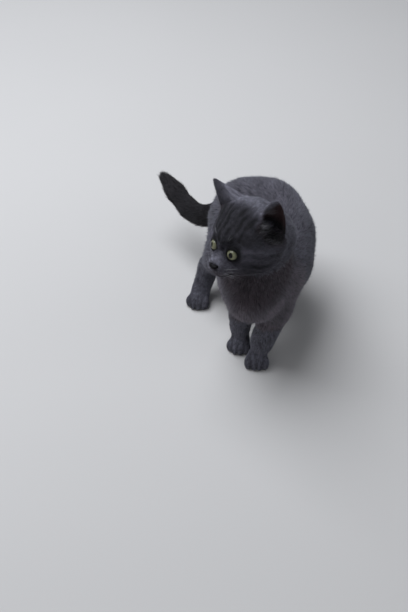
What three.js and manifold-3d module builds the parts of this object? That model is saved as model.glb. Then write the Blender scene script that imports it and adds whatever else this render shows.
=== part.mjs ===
// A life-size kitten about ten weeks old, standing with its body bent to its right and its head
// turned the same way. Its coat is part of the shape. The body is one smooth field of bones and
// muscles, meshed and then parted by thin cuts into the pieces that a person would name.
//
// Millimetres, +Z up. The chest faces -Y and the kitten's left is +X. The soles stand on Z = 0,
// and the origin lies under the middle of the whole.

import * as THREE from "three";
import { mergeVertices } from "three/addons/utils/BufferGeometryUtils.js";
import Module from "manifold-3d";

const wasm = await Module();
wasm.setup();

const at = (x, y, z) => new THREE.Vector3(x, y, z);
const { degToRad, lerp, clamp } = THREE.MathUtils;

// ---------------------------------------------------------------- driving dimensions

const CUT = 0.3; // gap left by each cut, and round each eye and the nose
const PLANE_REACH = 130; // how far a cutting block reaches in front of its plane
const SOLE_SINK = 2; // how far the round soles would reach below the floor before they are trimmed
const ANKLE_HEIGHT = 22; // where the paws are parted from the legs
const LEG_TOP = 50; // where the legs are parted from the trunk

const EYE_SPACING = 27.5; // between the pupils
const EYE_DROP = 1.2; // how far the pupils lie below the middle of the face
const EYE_RADIUS = 8.3;
const EYE_TURN = degToRad(17); // each eye looks this far outwards
const EYE_LIFT = degToRad(18); // and this far up
const CORNEA_RADIUS = 5.6;
const CORNEA_RISE = 1.1; // how far the cornea stands out of the eyeball
const LID_OPENING = 6.4; // radius of the opening between the lids
const LID_DEPTH = 5.1; // from the middle of the eyeball forward to the middle of that opening

const EAR_THICKNESS = [3.4, 1.8]; // at the base, at the tip
const EAR_SEAT = { height: 7, radius: 40 }; // the disc that parts each ear from the head, above its base

const NOSE = { width: 11, height: 7.4, depth: 6 };
const NOSE_AT = at(0, -8.4, -15.2); // in the head's frame

const PAW = { width: 25.5, length: 33, height: 19 };
const TOE_RADIUS = 6.6;

const STEP = { trunk: 12.8, limbs: 7, head: 6.1 }; // between grid lines when each is meshed

// ---------------------------------------------------------------- head frame

// The head's own frame has its origin between the pupils, x towards its left, y towards the back of
// the skull and z towards the crown. It is turned to the right, and its left side is higher.
const HEAD_AT = at(-33.5, 5, 176);
const HEAD_TURN = new THREE.Euler(degToRad(-1), degToRad(-9.5), degToRad(-50), "ZXY");
const HEAD = new THREE.Matrix4().makeRotationFromEuler(HEAD_TURN).setPosition(HEAD_AT);
const HEAD_INVERSE = HEAD.clone().invert();

// ---------------------------------------------------------------- skeleton

const SPINE = [
  { at: at(7, 42, 96), r: 36 }, // between the shoulders
  { at: at(27, 79, 93), r: 36 }, // ribs
  { at: at(30.5, 111, 101), r: 37 }, // belly
  { at: at(20, 139, 106), r: 36.5 }, // loin
  { at: at(-4, 149, 106), r: 34.5 }, // pelvis
];

const NECK = [
  { at: at(6, 42, 112), r: 33 },
  { at: at(10, 43, 158), r: 31.5 },
];

// The swelling that carries each ear, in the head's frame, with x taken outwards on both sides.
const EAR_BASE = {
  left: { inner: { at: at(22, 30, 19), r: 7 }, outer: { at: at(36, 42, 3), r: 8 } },
  right: { inner: { at: at(19, 27, 21.5), r: 7 }, outer: { at: at(32, 48, 4), r: 8 } },
};

const TAIL = [
  { at: at(-20, 166, 96), r: 13 },
  { at: at(-34, 178, 76), r: 11.5 },
  { at: at(-50, 185, 66), r: 11 },
  { at: at(-67, 202, 62), r: 11 },
  { at: at(-84, 228, 67), r: 10.5 },
  { at: at(-98, 243, 78), r: 7 },
];

// Each leg runs from its root in the body to its toes, which point to -Y turned by heading.
const LEGS = {
  foreleg_left: {
    joints: [
      { at: at(30, 48, 100), r: 21 },
      { at: at(27, 33, 66), r: 15 },
      { at: at(13, 20, 24), r: 12.4 },
    ],
    paw: at(8.5, 14, 0),
    heading: degToRad(-4),
  },
  foreleg_right: {
    joints: [
      { at: at(-13, 46, 104), r: 21 },
      { at: at(-9, 42, 66), r: 14.5 },
      { at: at(-9.8, 43, 24), r: 11.5 },
    ],
    paw: at(-9.5, 37.5, 0),
    heading: degToRad(-14),
  },
  hindleg_left: {
    joints: [
      { at: at(13, 160, 98), r: 27 },
      { at: at(30, 137, 64), r: 18 },
      { at: at(35, 168, 33), r: 10.5 },
      { at: at(33, 156, 13), r: 10 },
    ],
    paw: at(32, 148, 0),
    heading: 0,
  },
  hindleg_right: {
    joints: [
      { at: at(-16, 135, 98), r: 27 },
      { at: at(-30, 112, 66), r: 18.5 },
      { at: at(-43, 131, 37), r: 11 },
      { at: at(-53, 116, 14), r: 11 },
    ],
    paw: at(-55.5, 107, 0),
    heading: degToRad(-18),
  },
};

// ---------------------------------------------------------------- field

// Smooth union of two distances, rounded over a width of k.
function blend(a, b, k) {
  const overlap = Math.max(k - Math.abs(a - b), 0) / k;
  return Math.min(a, b) - (overlap * overlap * k) / 4;
}

// Distance to a bone whose radius changes evenly from one end to the other.
const along = new THREE.Vector3();
const from = new THREE.Vector3();
function bone(p, a, b) {
  along.subVectors(b.at, a.at);
  from.subVectors(p, a.at);
  const t = clamp(from.dot(along) / along.lengthSq(), 0, 1);
  return from.addScaledVector(along, -t).length() - lerp(a.r, b.r, t);
}

// Distance to a chain of bones, each blended with the next.
function chain(p, joints, k) {
  let d = bone(p, joints[0], joints[1]);
  for (let i = 2; i < joints.length; i++) d = blend(d, bone(p, joints[i - 1], joints[i]), k);
  return d;
}

// Distance to an ellipsoid with its axes along those of p, near enough for blending.
function ellipsoid(p, [cx, cy, cz], [rx, ry, rz]) {
  const x = (p.x - cx) / rx;
  const y = (p.y - cy) / ry;
  const z = (p.z - cz) / rz;
  const scaled = Math.hypot(x, y, z);
  const slope = Math.max(Math.hypot(x / rx, y / ry, z / rz), 1e-9);
  return (scaled * (scaled - 1)) / slope;
}

// Head, in its own frame. The mirror makes both sides alike.
const onSkull = new THREE.Vector3();
function headField(p) {
  const q = onSkull.copy(p).applyMatrix4(HEAD_INVERSE);
  const earBase = q.x > 0 ? EAR_BASE.left : EAR_BASE.right;
  q.x = Math.abs(q.x);
  let d = ellipsoid(q, [0, 33.5, 1], [35, 31.5, 29]); // cranium
  d = blend(d, bone(q, earBase.inner, earBase.outer), 6);
  d = blend(d, ellipsoid(q, [0, 41, 10], [24.5, 24, 24]), 10); // nape
  d = blend(d, ellipsoid(q, [20.5, 31.5, -12], [17.5, 25, 17]), 12); // cheek
  d = blend(d, ellipsoid(q, [0, 8, 5], [11, 8, 12]), 9); // brow
  d = blend(d, ellipsoid(q, [11, 13, -19], [12, 15, 10]), 8); // jaw
  d = blend(d, ellipsoid(q, [0, 4, -16], [12, 13, 9.5]), 8); // muzzle
  d = blend(d, ellipsoid(q, [0, -3, -9], [5.5, 9, 6]), 8); // bridge of the nose
  d = blend(d, ellipsoid(q, [5.6, -4.5, -18.5], [7, 7, 6.5]), 3); // whisker pad
  return blend(d, ellipsoid(q, [0, -1, -25], [7, 8, 5.5]), 4); // chin
}

// One paw, flattened, with four toes along its front.
function pawField(p, { paw, heading }) {
  const q = at(p.x - paw.x, p.y - paw.y, p.z).applyAxisAngle(at(0, 0, 1), -heading);
  const half = [PAW.width / 2 - 1, PAW.length / 2 - 3, PAW.height / 2];
  let d = ellipsoid(q, [0, 0, PAW.height / 2 - SOLE_SINK], half);
  for (const toe of [-1.5, -0.5, 0.5, 1.5]) {
    const side = toe * (PAW.width / 4 - 0.4);
    const front = -PAW.length / 2 + TOE_RADIUS + toe ** 2 * 1.6;
    const toeHeight = TOE_RADIUS + 1;
    d = blend(d, ellipsoid(q, [side, front, toeHeight - SOLE_SINK], [4.6, TOE_RADIUS, toeHeight]), 2.5);
  }
  return d;
}

function trunkField(p) {
  const trunk = blend(chain(p, SPINE, 18), chain(p, NECK, 10), 16);
  const bib = ellipsoid(p, [0, 17, 98], [25, 22, 27]);
  return blend(blend(trunk, bib, 14), headField(p), 9);
}

// One leg, with the stretch of trunk that it grows from.
function legField(p, leg, trunk = trunkField(p)) {
  const limb = blend(chain(p, leg.joints, 9), pawField(p, leg), 5);
  return blend(trunk, limb, 13);
}

// The whole kitten. The legs and the tail blend with the trunk, but not with one another.
function kittenField(p) {
  const trunk = trunkField(p);
  const tail = blend(trunk, chain(p, TAIL, 8), 8);
  return Math.min(tail, ...Object.values(LEGS).map((leg) => legField(p, leg, trunk)));
}

// ---------------------------------------------------------------- meshing

// Moves a point onto the field's surface along its gradient.
const probe = new THREE.Vector3();
function settle(p, field) {
  const reach = 0.4;
  for (let pass = 0; pass < 4; pass++) {
    const d = field(p);
    const slope = new THREE.Vector3();
    for (const axis of ["x", "y", "z"]) {
      probe.copy(p)[axis] += reach;
      const ahead = field(probe);
      probe.copy(p)[axis] -= reach;
      slope[axis] = (ahead - field(probe)) / (2 * reach);
    }
    p.addScaledVector(slope, -d / Math.max(slope.lengthSq(), 0.25));
  }
}

// Surface net of a field inside a box: one vertex for each sheet of the surface in each grid cell,
// and one quad round each grid edge that the surface crosses.
const AXES = [0, 1, 2];
function surfaceNet(field, box, step) {
  const size = box.getSize(new THREE.Vector3());
  const counts = size.toArray().map((length) => Math.ceil(length / step) + 4);
  const place = (cell) => at(...cell).subScalar(2).multiplyScalar(step).add(box.min);
  const index = ([i, j, k]) => i + counts[0] * (j + counts[1] * k);
  const shifted = (cell, axis, distance) => cell.map((n, other) => (other === axis ? n + distance : n));
  const cells = [];
  for (let k = 0; k < counts[2]; k++)
    for (let j = 0; j < counts[1]; j++) for (let i = 0; i < counts[0]; i++) cells.push([i, j, k]);
  const values = cells.map((cell) => {
    const p = place(cell);
    const beyond = p.distanceTo(box.clampPoint(p, new THREE.Vector3()));
    return Math.max(field(p), beyond - step / 4);
  });

  // A sheet wraps one group of a cell's inside corners that are joined along the cell's edges.
  // A corner is three bits, one for each axis.
  const vertices = new Map();
  const positions = [];
  const vertexIn = (cell, insideCorner) => {
    const cornerAt = (bits) => cell.map((n, axis) => n + ((bits >> axis) & 1));
    const valueAt = (bits) => values[index(cornerAt(bits))];
    const group = [insideCorner.reduce((bits, n, axis) => bits | ((n - cell[axis]) << axis), 0)];
    const middle = new THREE.Vector3();
    let crossings = 0;
    for (const bits of group)
      for (const axis of AXES) {
        const next = bits ^ (1 << axis);
        const [a, b] = [valueAt(bits), valueAt(next)];
        if (b >= 0) {
          middle.add(place(cornerAt(bits)).lerp(place(cornerAt(next)), a / (a - b)));
          crossings++;
        } else if (!group.includes(next)) group.push(next);
      }
    const key = 8 * index(cell) + Math.min(...group);
    if (vertices.has(key)) return vertices.get(key);
    middle.divideScalar(crossings);
    settle(middle, field);
    middle.clamp(place(cell.map((n) => n + 0.05)), place(cell.map((n) => n + 0.95)));
    vertices.set(key, positions.length / 3);
    positions.push(...middle);
    return vertices.get(key);
  };

  const indices = [];
  for (const cell of cells) {
    if (Math.min(...cell) < 1 || cell.some((n, axis) => n > counts[axis] - 2)) continue;
    const inside = values[index(cell)] < 0;
    for (const axis of AXES) {
      const end = shifted(cell, axis, 1);
      if (inside === values[index(end)] < 0) continue;
      const ring = [
        [-1, -1],
        [0, -1],
        [0, 0],
        [-1, 0],
      ].map(([a, b]) => {
        const beside = shifted(shifted(cell, (axis + 1) % 3, a), (axis + 2) % 3, b);
        return vertexIn(beside, inside ? cell : end);
      });
      if (!inside) ring.reverse();
      indices.push(ring[0], ring[1], ring[2], ring[0], ring[2], ring[3]);
    }
  }
  const geometry = new THREE.BufferGeometry();
  geometry.setAttribute("position", new THREE.Float32BufferAttribute(positions, 3));
  return geometry.setIndex(indices);
}

// ---------------------------------------------------------------- solids

function toSolid(geometry, matrix = new THREE.Matrix4()) {
  const bare = geometry.clone().applyMatrix4(matrix);
  bare.deleteAttribute("normal");
  bare.deleteAttribute("uv");
  const merged = mergeVertices(bare, 1e-4);
  return new wasm.Manifold(
    new wasm.Mesh({
      numProp: 3,
      vertProperties: merged.attributes.position.array,
      triVerts: new Uint32Array(merged.index.array),
    }),
  );
}

function toGeometry(solid) {
  const { vertProperties, triVerts } = solid.getMesh();
  const geometry = new THREE.BufferGeometry();
  geometry.setAttribute("position", new THREE.BufferAttribute(vertProperties.slice(), 3));
  geometry.setIndex(new THREE.BufferAttribute(triVerts.slice(), 1));
  return geometry;
}

// Turns +Z to direction and moves the origin to centre.
function aim(centre, direction) {
  const turn = new THREE.Quaternion().setFromUnitVectors(at(0, 0, 1), direction.clone().normalize());
  return new THREE.Matrix4().compose(centre, turn, at(1, 1, 1));
}

// Round block that rises from a plane along its direction.
function block({ centre, direction, radius }, height) {
  const cylinder = new THREE.CylinderGeometry(radius, radius, height, 32);
  return toSolid(cylinder.rotateX(Math.PI / 2).translate(0, 0, height / 2), aim(centre, direction));
}

// What lies behind a plane, and what lies in front of it beyond the gap of a cut.
const behind = (solid, plane) => solid.subtract(block(plane, PLANE_REACH));
function inFront(solid, { centre, direction, radius }) {
  const start = centre.clone().addScaledVector(direction.clone().normalize(), CUT);
  return solid.intersect(block({ centre: start, direction, radius }, PLANE_REACH));
}
const cutAcross = (solid, plane) => solid.subtract(block(plane, CUT));

// ---------------------------------------------------------------- ears

// Each ear is a cupped shell. In the head's frame, its base runs from the crown down and back to
// the side of the skull. The cup wraps forward from its back by so many degrees on each side, at
// the base and at the tip. The right ear is turned back.
const EARS = {
  ear_left: {
    inner: at(22, 30, 25),
    outer: at(40, 45, 5),
    tip: at(40, 41, 50),
    wrap: { inner: [60, 46], outer: [84, 56] },
  },
  ear_right: {
    inner: at(-19.5, 26, 29.5),
    outer: at(-34, 52, 6),
    tip: at(-40, 33, 47.5),
    wrap: { inner: [104, 36], outer: [67, 41] },
  },
};
const EAR_RINGS = 6;
const EAR_ARC_STEPS = 6;
const EAR_ROOT = -0.16; // how far the shell starts inside the skull, as a share of its height

// Closed solid through crescent rings: each ring runs along its outer arc and back along its inner.
function crescentLoft(rings) {
  const count = rings[0].length;
  const indices = [];
  const quad = (a, b, c, d) => indices.push(a, b, c, a, c, d);
  for (let start = 0; start < (rings.length - 1) * count; start += count)
    for (let i = 0; i < count; i++) {
      const next = (i + 1) % count;
      quad(start + i, start + next, start + next + count, start + i + count);
    }
  const top = (rings.length - 1) * count;
  for (let i = 0; i < count / 2 - 1; i++) {
    quad(i, count - 1 - i, count - 2 - i, i + 1);
    quad(top + i + 1, top + count - 2 - i, top + count - 1 - i, top + i);
  }
  const geometry = new THREE.BufferGeometry();
  const positions = rings.flat().flatMap((p) => [p.x, p.y, p.z]);
  geometry.setAttribute("position", new THREE.Float32BufferAttribute(positions, 3));
  return geometry.setIndex(indices);
}

// The middle of an ear's base, and the ways its base, its tip and its mouth face.
function earFrame({ inner, outer, tip }) {
  const base = inner.clone().lerp(outer, 0.5);
  const across = outer.clone().sub(inner);
  const up = tip.clone().sub(base);
  const open = new THREE.Vector3().crossVectors(across, up).normalize();
  if (open.y > 0) open.negate();
  return { base, across, up, open };
}

function earGeometry(ear) {
  const { base, across, up, open } = earFrame(ear);
  const turn = Math.sign(new THREE.Vector3().crossVectors(open, up).dot(across));
  const width = across.length();
  const rings = [];
  for (let ring = 0; ring <= EAR_RINGS; ring++) {
    const t = lerp(EAR_ROOT, 1, (ring / EAR_RINGS) ** 0.9);
    const chord = width * Math.sqrt(Math.max(1 - Math.max(t, 0) ** 2, 0.018));
    const sides = [ear.wrap.inner, ear.wrap.outer];
    const [toInner, toOuter] = sides.map((side) => degToRad(lerp(...side, Math.max(t, 0))));
    const reach = (wrap) => Math.sin(Math.min(wrap, Math.PI / 2));
    const radius = chord / (reach(toInner) + reach(toOuter));
    const middle = (radius * (Math.sin(toOuter) - Math.sin(toInner))) / 2;
    const thickness = Math.min(lerp(...EAR_THICKNESS, t), radius * 0.8);
    const arc = (r, way) =>
      Array.from({ length: EAR_ARC_STEPS + 1 }, (_, i) => {
        const share = way * turn > 0 ? i / EAR_ARC_STEPS : 1 - i / EAR_ARC_STEPS;
        const angle = lerp(-toInner, toOuter, share);
        return base
          .clone()
          .addScaledVector(up, t)
          .addScaledVector(across, (r * Math.sin(angle) - middle) / width)
          .addScaledVector(open, radius - (width / 2) * (1 - t) - r * Math.cos(angle));
      });
    rings.push([...arc(radius, 1), ...arc(radius - thickness, -1)]);
  }
  return crescentLoft(rings);
}

// ---------------------------------------------------------------- eyes and nose

// Places an eye in the head's frame, looking along its own +Z.
function eyePlace(side) {
  const flat = Math.cos(EYE_LIFT);
  const gaze = at(side * Math.sin(EYE_TURN) * flat, -Math.cos(EYE_TURN) * flat, Math.sin(EYE_LIFT));
  return aim(at((side * EYE_SPACING) / 2, 0, -EYE_DROP).addScaledVector(gaze, -EYE_RADIUS), gaze);
}

// Eyeball turned about its own axis, with the cornea standing out at +Z.
function eyeGeometry(grow = 0) {
  const corneaAt = EYE_RADIUS + CORNEA_RISE - CORNEA_RADIUS;
  const steps = 10;
  const profile = Array.from({ length: steps + 1 }, (_, i) => {
    const angle = (Math.PI * i) / steps; // from the cornea's pole to the back
    const reach = CORNEA_RADIUS ** 2 - (corneaAt * Math.sin(angle)) ** 2;
    const cornea = angle < 1 ? corneaAt * Math.cos(angle) + Math.sqrt(Math.max(reach, 0)) : 0;
    const radius = Math.max(EYE_RADIUS, cornea) + grow;
    return new THREE.Vector2(i % steps ? radius * Math.sin(angle) : 0, -radius * Math.cos(angle));
  });
  return new THREE.LatheGeometry(profile, 12).rotateX(-Math.PI / 2);
}

// The bowl between the lids, in front of the eyeball.
function lidBowlGeometry() {
  return new THREE.SphereGeometry(LID_OPENING, 14, 8).translate(0, 0, LID_DEPTH);
}

// Nose pad: a round button, wide above and narrow below, standing out along -Y.
function noseGeometry(grow = 0) {
  const pad = new THREE.SphereGeometry(1, 12, 8);
  const { position } = pad.attributes;
  for (let i = 0; i < position.count; i++) {
    const [x, y, z] = [position.getX(i), position.getY(i), position.getZ(i)];
    const wide = (NOSE.width / 2 + grow) * lerp(0.72, 1, (z + 1) / 2);
    position.setXYZ(i, x * wide, y * (NOSE.depth + grow), z * (NOSE.height / 2 + grow));
  }
  return pad.translate(...NOSE_AT);
}

// ---------------------------------------------------------------- cuts and names

// Each plane parts what it faces from what lies behind it.
const NECK_TOP = { centre: at(8, 42, 147), direction: at(-0.2, -0.25, 1), radius: 76 };
const NECK_BASE = { centre: at(6, 42, 128), direction: at(-0.1, -0.45, 0.9), radius: 76 };
const TAIL_ROOT = { centre: at(-27, 172, 88), direction: at(-0.75, 0.6, -0.3), radius: 42 };
const LEG_ROOTS = { centre: at(0, 110, LEG_TOP), direction: at(0, 0, 1), radius: 200 };
const ANKLES = { centre: at(0, 110, ANKLE_HEIGHT), direction: at(0, 0, 1), radius: 200 };
const RIBS = { centre: at(19, 60.5, 86), direction: at(0.35, 0.94, 0), radius: 70 };
const LOIN = { centre: at(34, 106, 96), direction: at(-0.5, 0.86, 0), radius: 66 };
const TAIL_JOINTS = [
  { centre: at(-58, 193, 64), direction: at(-17, 17, -4), radius: 17 },
  { centre: at(-78, 219, 65), direction: at(-17, 26, 5), radius: 17 },
];

// Where a chain of joints comes down to a height.
function whereAt(joints, height) {
  const low = joints.findIndex((joint) => joint.at.z < height);
  const [a, b] = [joints[low - 1].at, joints[low].at];
  return a.clone().lerp(b, (a.z - height) / (a.z - b.z));
}

// A point inside each piece of the body.
const INSIDE = {
  neck: at(4, 38, 138),
  chest: at(7, 42, 90),
  belly: at(30, 85, 98),
  hips: at(5, 142, 105),
  tail_base: at(-45, 183, 69),
  tail_middle: at(-67, 202, 62),
  tail_tip: at(-90, 234, 71),
};
for (const [name, leg] of Object.entries(LEGS)) {
  INSIDE[name] = whereAt(leg.joints, 34);
  INSIDE[name.replace("leg", "paw")] = leg.paw.clone().setZ(6);
}

// ---------------------------------------------------------------- solids of the body

// Each box holds one region of the body and reaches a little past the planes that trim it.
const HEAD_BOX = new THREE.Box3(at(-76, -26, 128), at(52, 86, 232));
const TRUNK_BOX = new THREE.Box3(at(-80, -24, 30), at(86, 210, 170));
const TAIL_BOX = new THREE.Box3(at(-116, 152, 40), at(-8, 262, 112));
const LEG_REACH = 30; // more than a leg or its paw reaches out from its joints
const LEG_MARGIN = 13; // how far a leg is meshed past the floor and past its top

const meshed = (field, box, step) => toSolid(surfaceNet(field, box, step));

const skull = inFront(meshed(kittenField, HEAD_BOX, STEP.head), NECK_TOP);

const core = meshed(kittenField, TRUNK_BOX, STEP.trunk);
const trunk = behind(behind(inFront(core, LEG_ROOTS), NECK_TOP), TAIL_ROOT);
const neck = inFront(trunk, NECK_BASE);
const torso = cutAcross(cutAcross(behind(trunk, NECK_BASE), RIBS), LOIN);

const floor = block({ centre: at(0, 110, -60), direction: at(0, 0, 1), radius: 200 }, 60);
const legs = Object.values(LEGS).map((leg) => {
  const box = new THREE.Box3().setFromPoints(leg.joints.map((joint) => joint.at));
  box.expandByScalar(LEG_REACH);
  box.min.setZ(-LEG_MARGIN);
  box.max.setZ(LEG_TOP + LEG_MARGIN);
  const whole = meshed((p) => legField(p, leg), box, STEP.limbs);
  return cutAcross(behind(whole.subtract(floor), LEG_ROOTS), ANKLES);
});

const rear = meshed(kittenField, TAIL_BOX, STEP.limbs);
const tail = TAIL_JOINTS.reduce(cutAcross, inFront(rear, TAIL_ROOT));

let head = skull;
const ears = {};
for (const [name, ear] of Object.entries(EARS)) {
  const { base, across, up, open } = earFrame(ear);
  const direction = new THREE.Vector3().crossVectors(open, across);
  if (direction.dot(up) < 0) direction.negate();
  direction.transformDirection(HEAD);
  const centre = base.clone().applyMatrix4(HEAD).addScaledVector(direction, EAR_SEAT.height);
  const seat = { centre, direction, radius: EAR_SEAT.radius };
  const whole = toSolid(earGeometry(ear), HEAD);
  head = head.add(behind(whole, seat));
  ears[name] = inFront(whole, seat);
}
for (const side of [1, -1]) {
  const place = HEAD.clone().multiply(eyePlace(side));
  head = head.subtract(toSolid(eyeGeometry(CUT), place)).subtract(toSolid(lidBowlGeometry(), place));
}
head = head.subtract(toSolid(noseGeometry(CUT), HEAD));
const pieces = [neck, torso, tail, ...legs].flatMap((solid) => solid.decompose());

// ---------------------------------------------------------------- materials

const coat = () => new THREE.MeshStandardMaterial({ color: 0x5b5c66, roughness: 0.95 });
const iris = () => new THREE.MeshStandardMaterial({ color: 0xb3b164, roughness: 0.1 });
const leather = () => new THREE.MeshStandardMaterial({ color: 0x2a272b, roughness: 0.5 });

// ---------------------------------------------------------------- kitten

const kitten = new THREE.Group();
kitten.name = "kitten";
const headGroup = new THREE.Group();
headGroup.position.copy(HEAD_AT);
headGroup.rotation.copy(HEAD_TURN);
kitten.add(headGroup);

// A mesh whose origin is the middle of its own geometry.
function addPiece(group, name, geometry, material) {
  geometry.computeBoundingBox();
  const middle = geometry.boundingBox.getCenter(new THREE.Vector3());
  geometry.translate(...middle.clone().negate());
  geometry.computeVertexNormals();
  const mesh = new THREE.Mesh(geometry, material);
  mesh.name = name;
  mesh.position.copy(middle);
  group.add(mesh);
}

addPiece(headGroup, "head", toGeometry(head).applyMatrix4(HEAD_INVERSE), coat());
for (const [name, ear] of Object.entries(ears))
  addPiece(headGroup, name, toGeometry(ear).applyMatrix4(HEAD_INVERSE), coat());
for (const [name, side] of [
  ["eye_left", 1],
  ["eye_right", -1],
])
  addPiece(headGroup, name, eyeGeometry().applyMatrix4(eyePlace(side)), iris());
addPiece(headGroup, "nose", noseGeometry(), leather());

if (pieces.length !== Object.keys(INSIDE).length) throw new Error(pieces.length + " pieces of the body");
for (const [name, point] of Object.entries(INSIDE)) {
  const marker = block({ centre: point, direction: at(0, 0, 1), radius: 1 }, 1);
  const piece = pieces.find((candidate) => candidate.intersect(marker).volume() > 0);
  if (!piece) throw new Error("no piece holds " + name);
  addPiece(kitten, name, toGeometry(piece), coat());
}

const bounds = new THREE.Box3().setFromObject(kitten, true);
const middle = bounds.getCenter(new THREE.Vector3());
kitten.position.set(-middle.x, -middle.y, 0);

export default kitten;
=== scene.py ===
# A life-size kitten about ten weeks old with a dense slate-grey coat. One smooth skin carries tufts
# of fur that follow the lie of the coat. The eyes lie between dark lids, the nose is leather, and
# the whiskers are thin meshes.
#
# Shapes are worked out in millimetres and turned into metres when a mesh is made. The chest faces
# -Y and the kitten's left is +X. The head has a frame of its own, whose origin lies between the
# pupils: x towards its left, y towards the back of the skull and z towards the crown.

import math

import bmesh
import bpy
import numpy as np
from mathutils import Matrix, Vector
from mathutils.bvhtree import BVHTree


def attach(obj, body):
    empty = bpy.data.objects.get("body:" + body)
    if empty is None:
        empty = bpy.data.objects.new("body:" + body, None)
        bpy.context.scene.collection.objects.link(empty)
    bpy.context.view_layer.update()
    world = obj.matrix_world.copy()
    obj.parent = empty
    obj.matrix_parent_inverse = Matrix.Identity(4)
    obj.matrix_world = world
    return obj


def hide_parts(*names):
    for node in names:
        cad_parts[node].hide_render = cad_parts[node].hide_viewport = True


MM = 0.001
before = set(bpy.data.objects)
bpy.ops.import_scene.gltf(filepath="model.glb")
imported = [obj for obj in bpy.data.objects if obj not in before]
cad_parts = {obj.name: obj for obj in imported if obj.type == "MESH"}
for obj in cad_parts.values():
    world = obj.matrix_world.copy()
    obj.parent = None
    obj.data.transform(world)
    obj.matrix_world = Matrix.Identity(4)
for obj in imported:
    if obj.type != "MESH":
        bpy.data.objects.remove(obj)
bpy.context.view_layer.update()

# ---------------------------------------------------------------- sizes, in millimetres

SEAM_OVERLAP = 0.35  # the solids swell by this much, so that they join across the cuts between them
VOXEL = 0.9  # grid of the first skin
SPARE_FACES = 0.4  # share of its faces that the body's skin keeps
SKULL_AT = (0, 25, 5)  # middle of the skull in the head's frame
SKULL_REACH = 52  # the skin stays fine this far round it
FEET_HIGH = 14  # and up to this height over the floor

SIDES = {"left": 1, "right": -1}  # which way each side lies along the head's x
EYE_RADIUS = 8.3
CORNEA_RADIUS = 5.6
CORNEA_RISE = 1.1
EYE_DROP = 1.2  # how far the pupils lie below the middle of the face
EYE_TURN = math.radians(17)  # each eye looks this far outwards
EYE_LIFT = math.radians(18)  # and this far up
IRIS_RADIUS = 6.0
PUPIL_RADIUS = 2.5
EYE_SEGMENTS = 56
EYE_ROWS = 40

LID_SWELLING = 1.7  # how far the skin swells over the eyeball
LID_WIDE = math.radians(44)  # from the gaze to the corners of the opening between the lids
LID_TALL = (34.5, 32.5)  # from the gaze to its upper and to its lower edge, in degrees
LID_CORNER = math.radians(9)  # how much farther it reaches at the inner corner
LID_EDGE = 4.0  # how far past the opening the skin dips under the eyeball, in degrees
LID_SEGMENTS = 60
LID_FOLD = 0.15  # how much higher the upper lid stands
LID_TUCK = (0.35, 0.6)  # how far its hidden root reaches under the skin, in radians, and how deep
# Rows across a lid, from under its inner edge out to the coat: how much wider than the opening, in
# degrees, and how high over the eyeball.
LID_ROWS = [
    (3.0, -0.35), (0.2, 0.05), (-0.2, 0.3), (0.3, 0.55), (1.8, 0.8),
    (4.0, 0.85), (6.5, 0.7), (9.0, 0.35), (12.0, -0.4),
]

# Each ear is a cupped shell between three points of the head's frame. Its cup wraps forward from
# its back by so many degrees on its inner and on its outer side, at the base and at the tip.
EARS = {
    "ear_left": {
        "inner": (22, 30, 25),
        "outer": (40, 45, 5),
        "tip": (40, 41, 50),
        "wrap": ((60, 46), (84, 56)),
    },
    "ear_right": {
        "inner": (-19.5, 26, 29.5),
        "outer": (-34, 52, 6),
        "tip": (-40, 33, 47.5),
        "wrap": ((104, 36), (67, 41)),
    },
}
EAR_THICKNESS = (3.4, 1.8)  # at the base, at the tip
EAR_ROOT = -0.16  # how far the shell starts inside the skull, as a share of its height
EAR_RINGS = 44
EAR_STEPS = 30
PIT_DEPTH = 7.0  # of the hollow below the cup of an ear
PIT_SIZE = (14.5, 11.5, 12)  # half of its size across the ear, up it and forward
EAR_HAIRS = 150  # in front of each ear

NOSE_ROWS = 44
NOSE_SEGMENTS = 64

# How far each paw's toes turn from -Y, in degrees.
PAW_TURN = {"forepaw_left": -4, "forepaw_right": -14, "hindpaw_left": 0, "hindpaw_right": -18}
# Where the toes and the grooves between them lie across a paw, as shares of its width.
TOE_MIDDLES = (-0.36, -0.12, 0.12, 0.36)
TOE_GROOVES = (-0.24, 0.0, 0.24)
TOE_WIDTH = 2.4
TOE_GROOVE_WIDTH = 1.25
TOE_GROOVE_DEPTH = 0.8
TOE_SWELLING = 0.7
SOLE_HEIGHT = 1.2  # below it a paw carries hardly any hair

FLESH = [
    "head", "ear_left", "ear_right", "neck", "chest", "belly", "hips",
    "tail_base", "tail_middle", "tail_tip",
    "foreleg_left", "forepaw_left", "foreleg_right", "forepaw_right",
    "hindleg_left", "hindpaw_left", "hindleg_right", "hindpaw_right",
]
SPINE = ["head", "neck", "chest", "belly", "hips", "tail_base", "tail_middle", "tail_tip"]

# For each region: passes of smoothing, depth of the coat over the skin, length of a tuft, half its
# width, tufts on a square millimetre of skin, and how light the fur is. The neck's lower value is
# painted shade behind the ruff of the cheeks.
COAT = {
    "head": (30, 2.4, 7.0, 0.21, 3.1, 0.96),
    "ear": (3, 0.35, 2.4, 0.15, 3.4, 0.95),
    # the neck is darker as painted shade behind the ruff of the cheeks
    "neck": (120, 4.6, 12.5, 0.29, 1.9, 0.80),
    "chest": (150, 4.4, 12.5, 0.30, 1.8, 1.22),
    "belly": (170, 4.2, 12.0, 0.31, 1.6, 0.92),
    "hips": (170, 4.2, 12.0, 0.31, 1.6, 0.92),
    "tail": (700, 3.6, 11.5, 0.28, 2.3, 0.24),
    "foreleg": (60, 1.9, 6.0, 0.23, 2.7, 1.12),
    "hindleg": (60, 2.1, 6.5, 0.24, 2.5, 1.10),
    "forepaw": (40, 1.0, 3.2, 0.19, 4.0, 1.46),
    "hindpaw": (40, 1.0, 3.2, 0.19, 3.8, 1.46),
}
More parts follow.
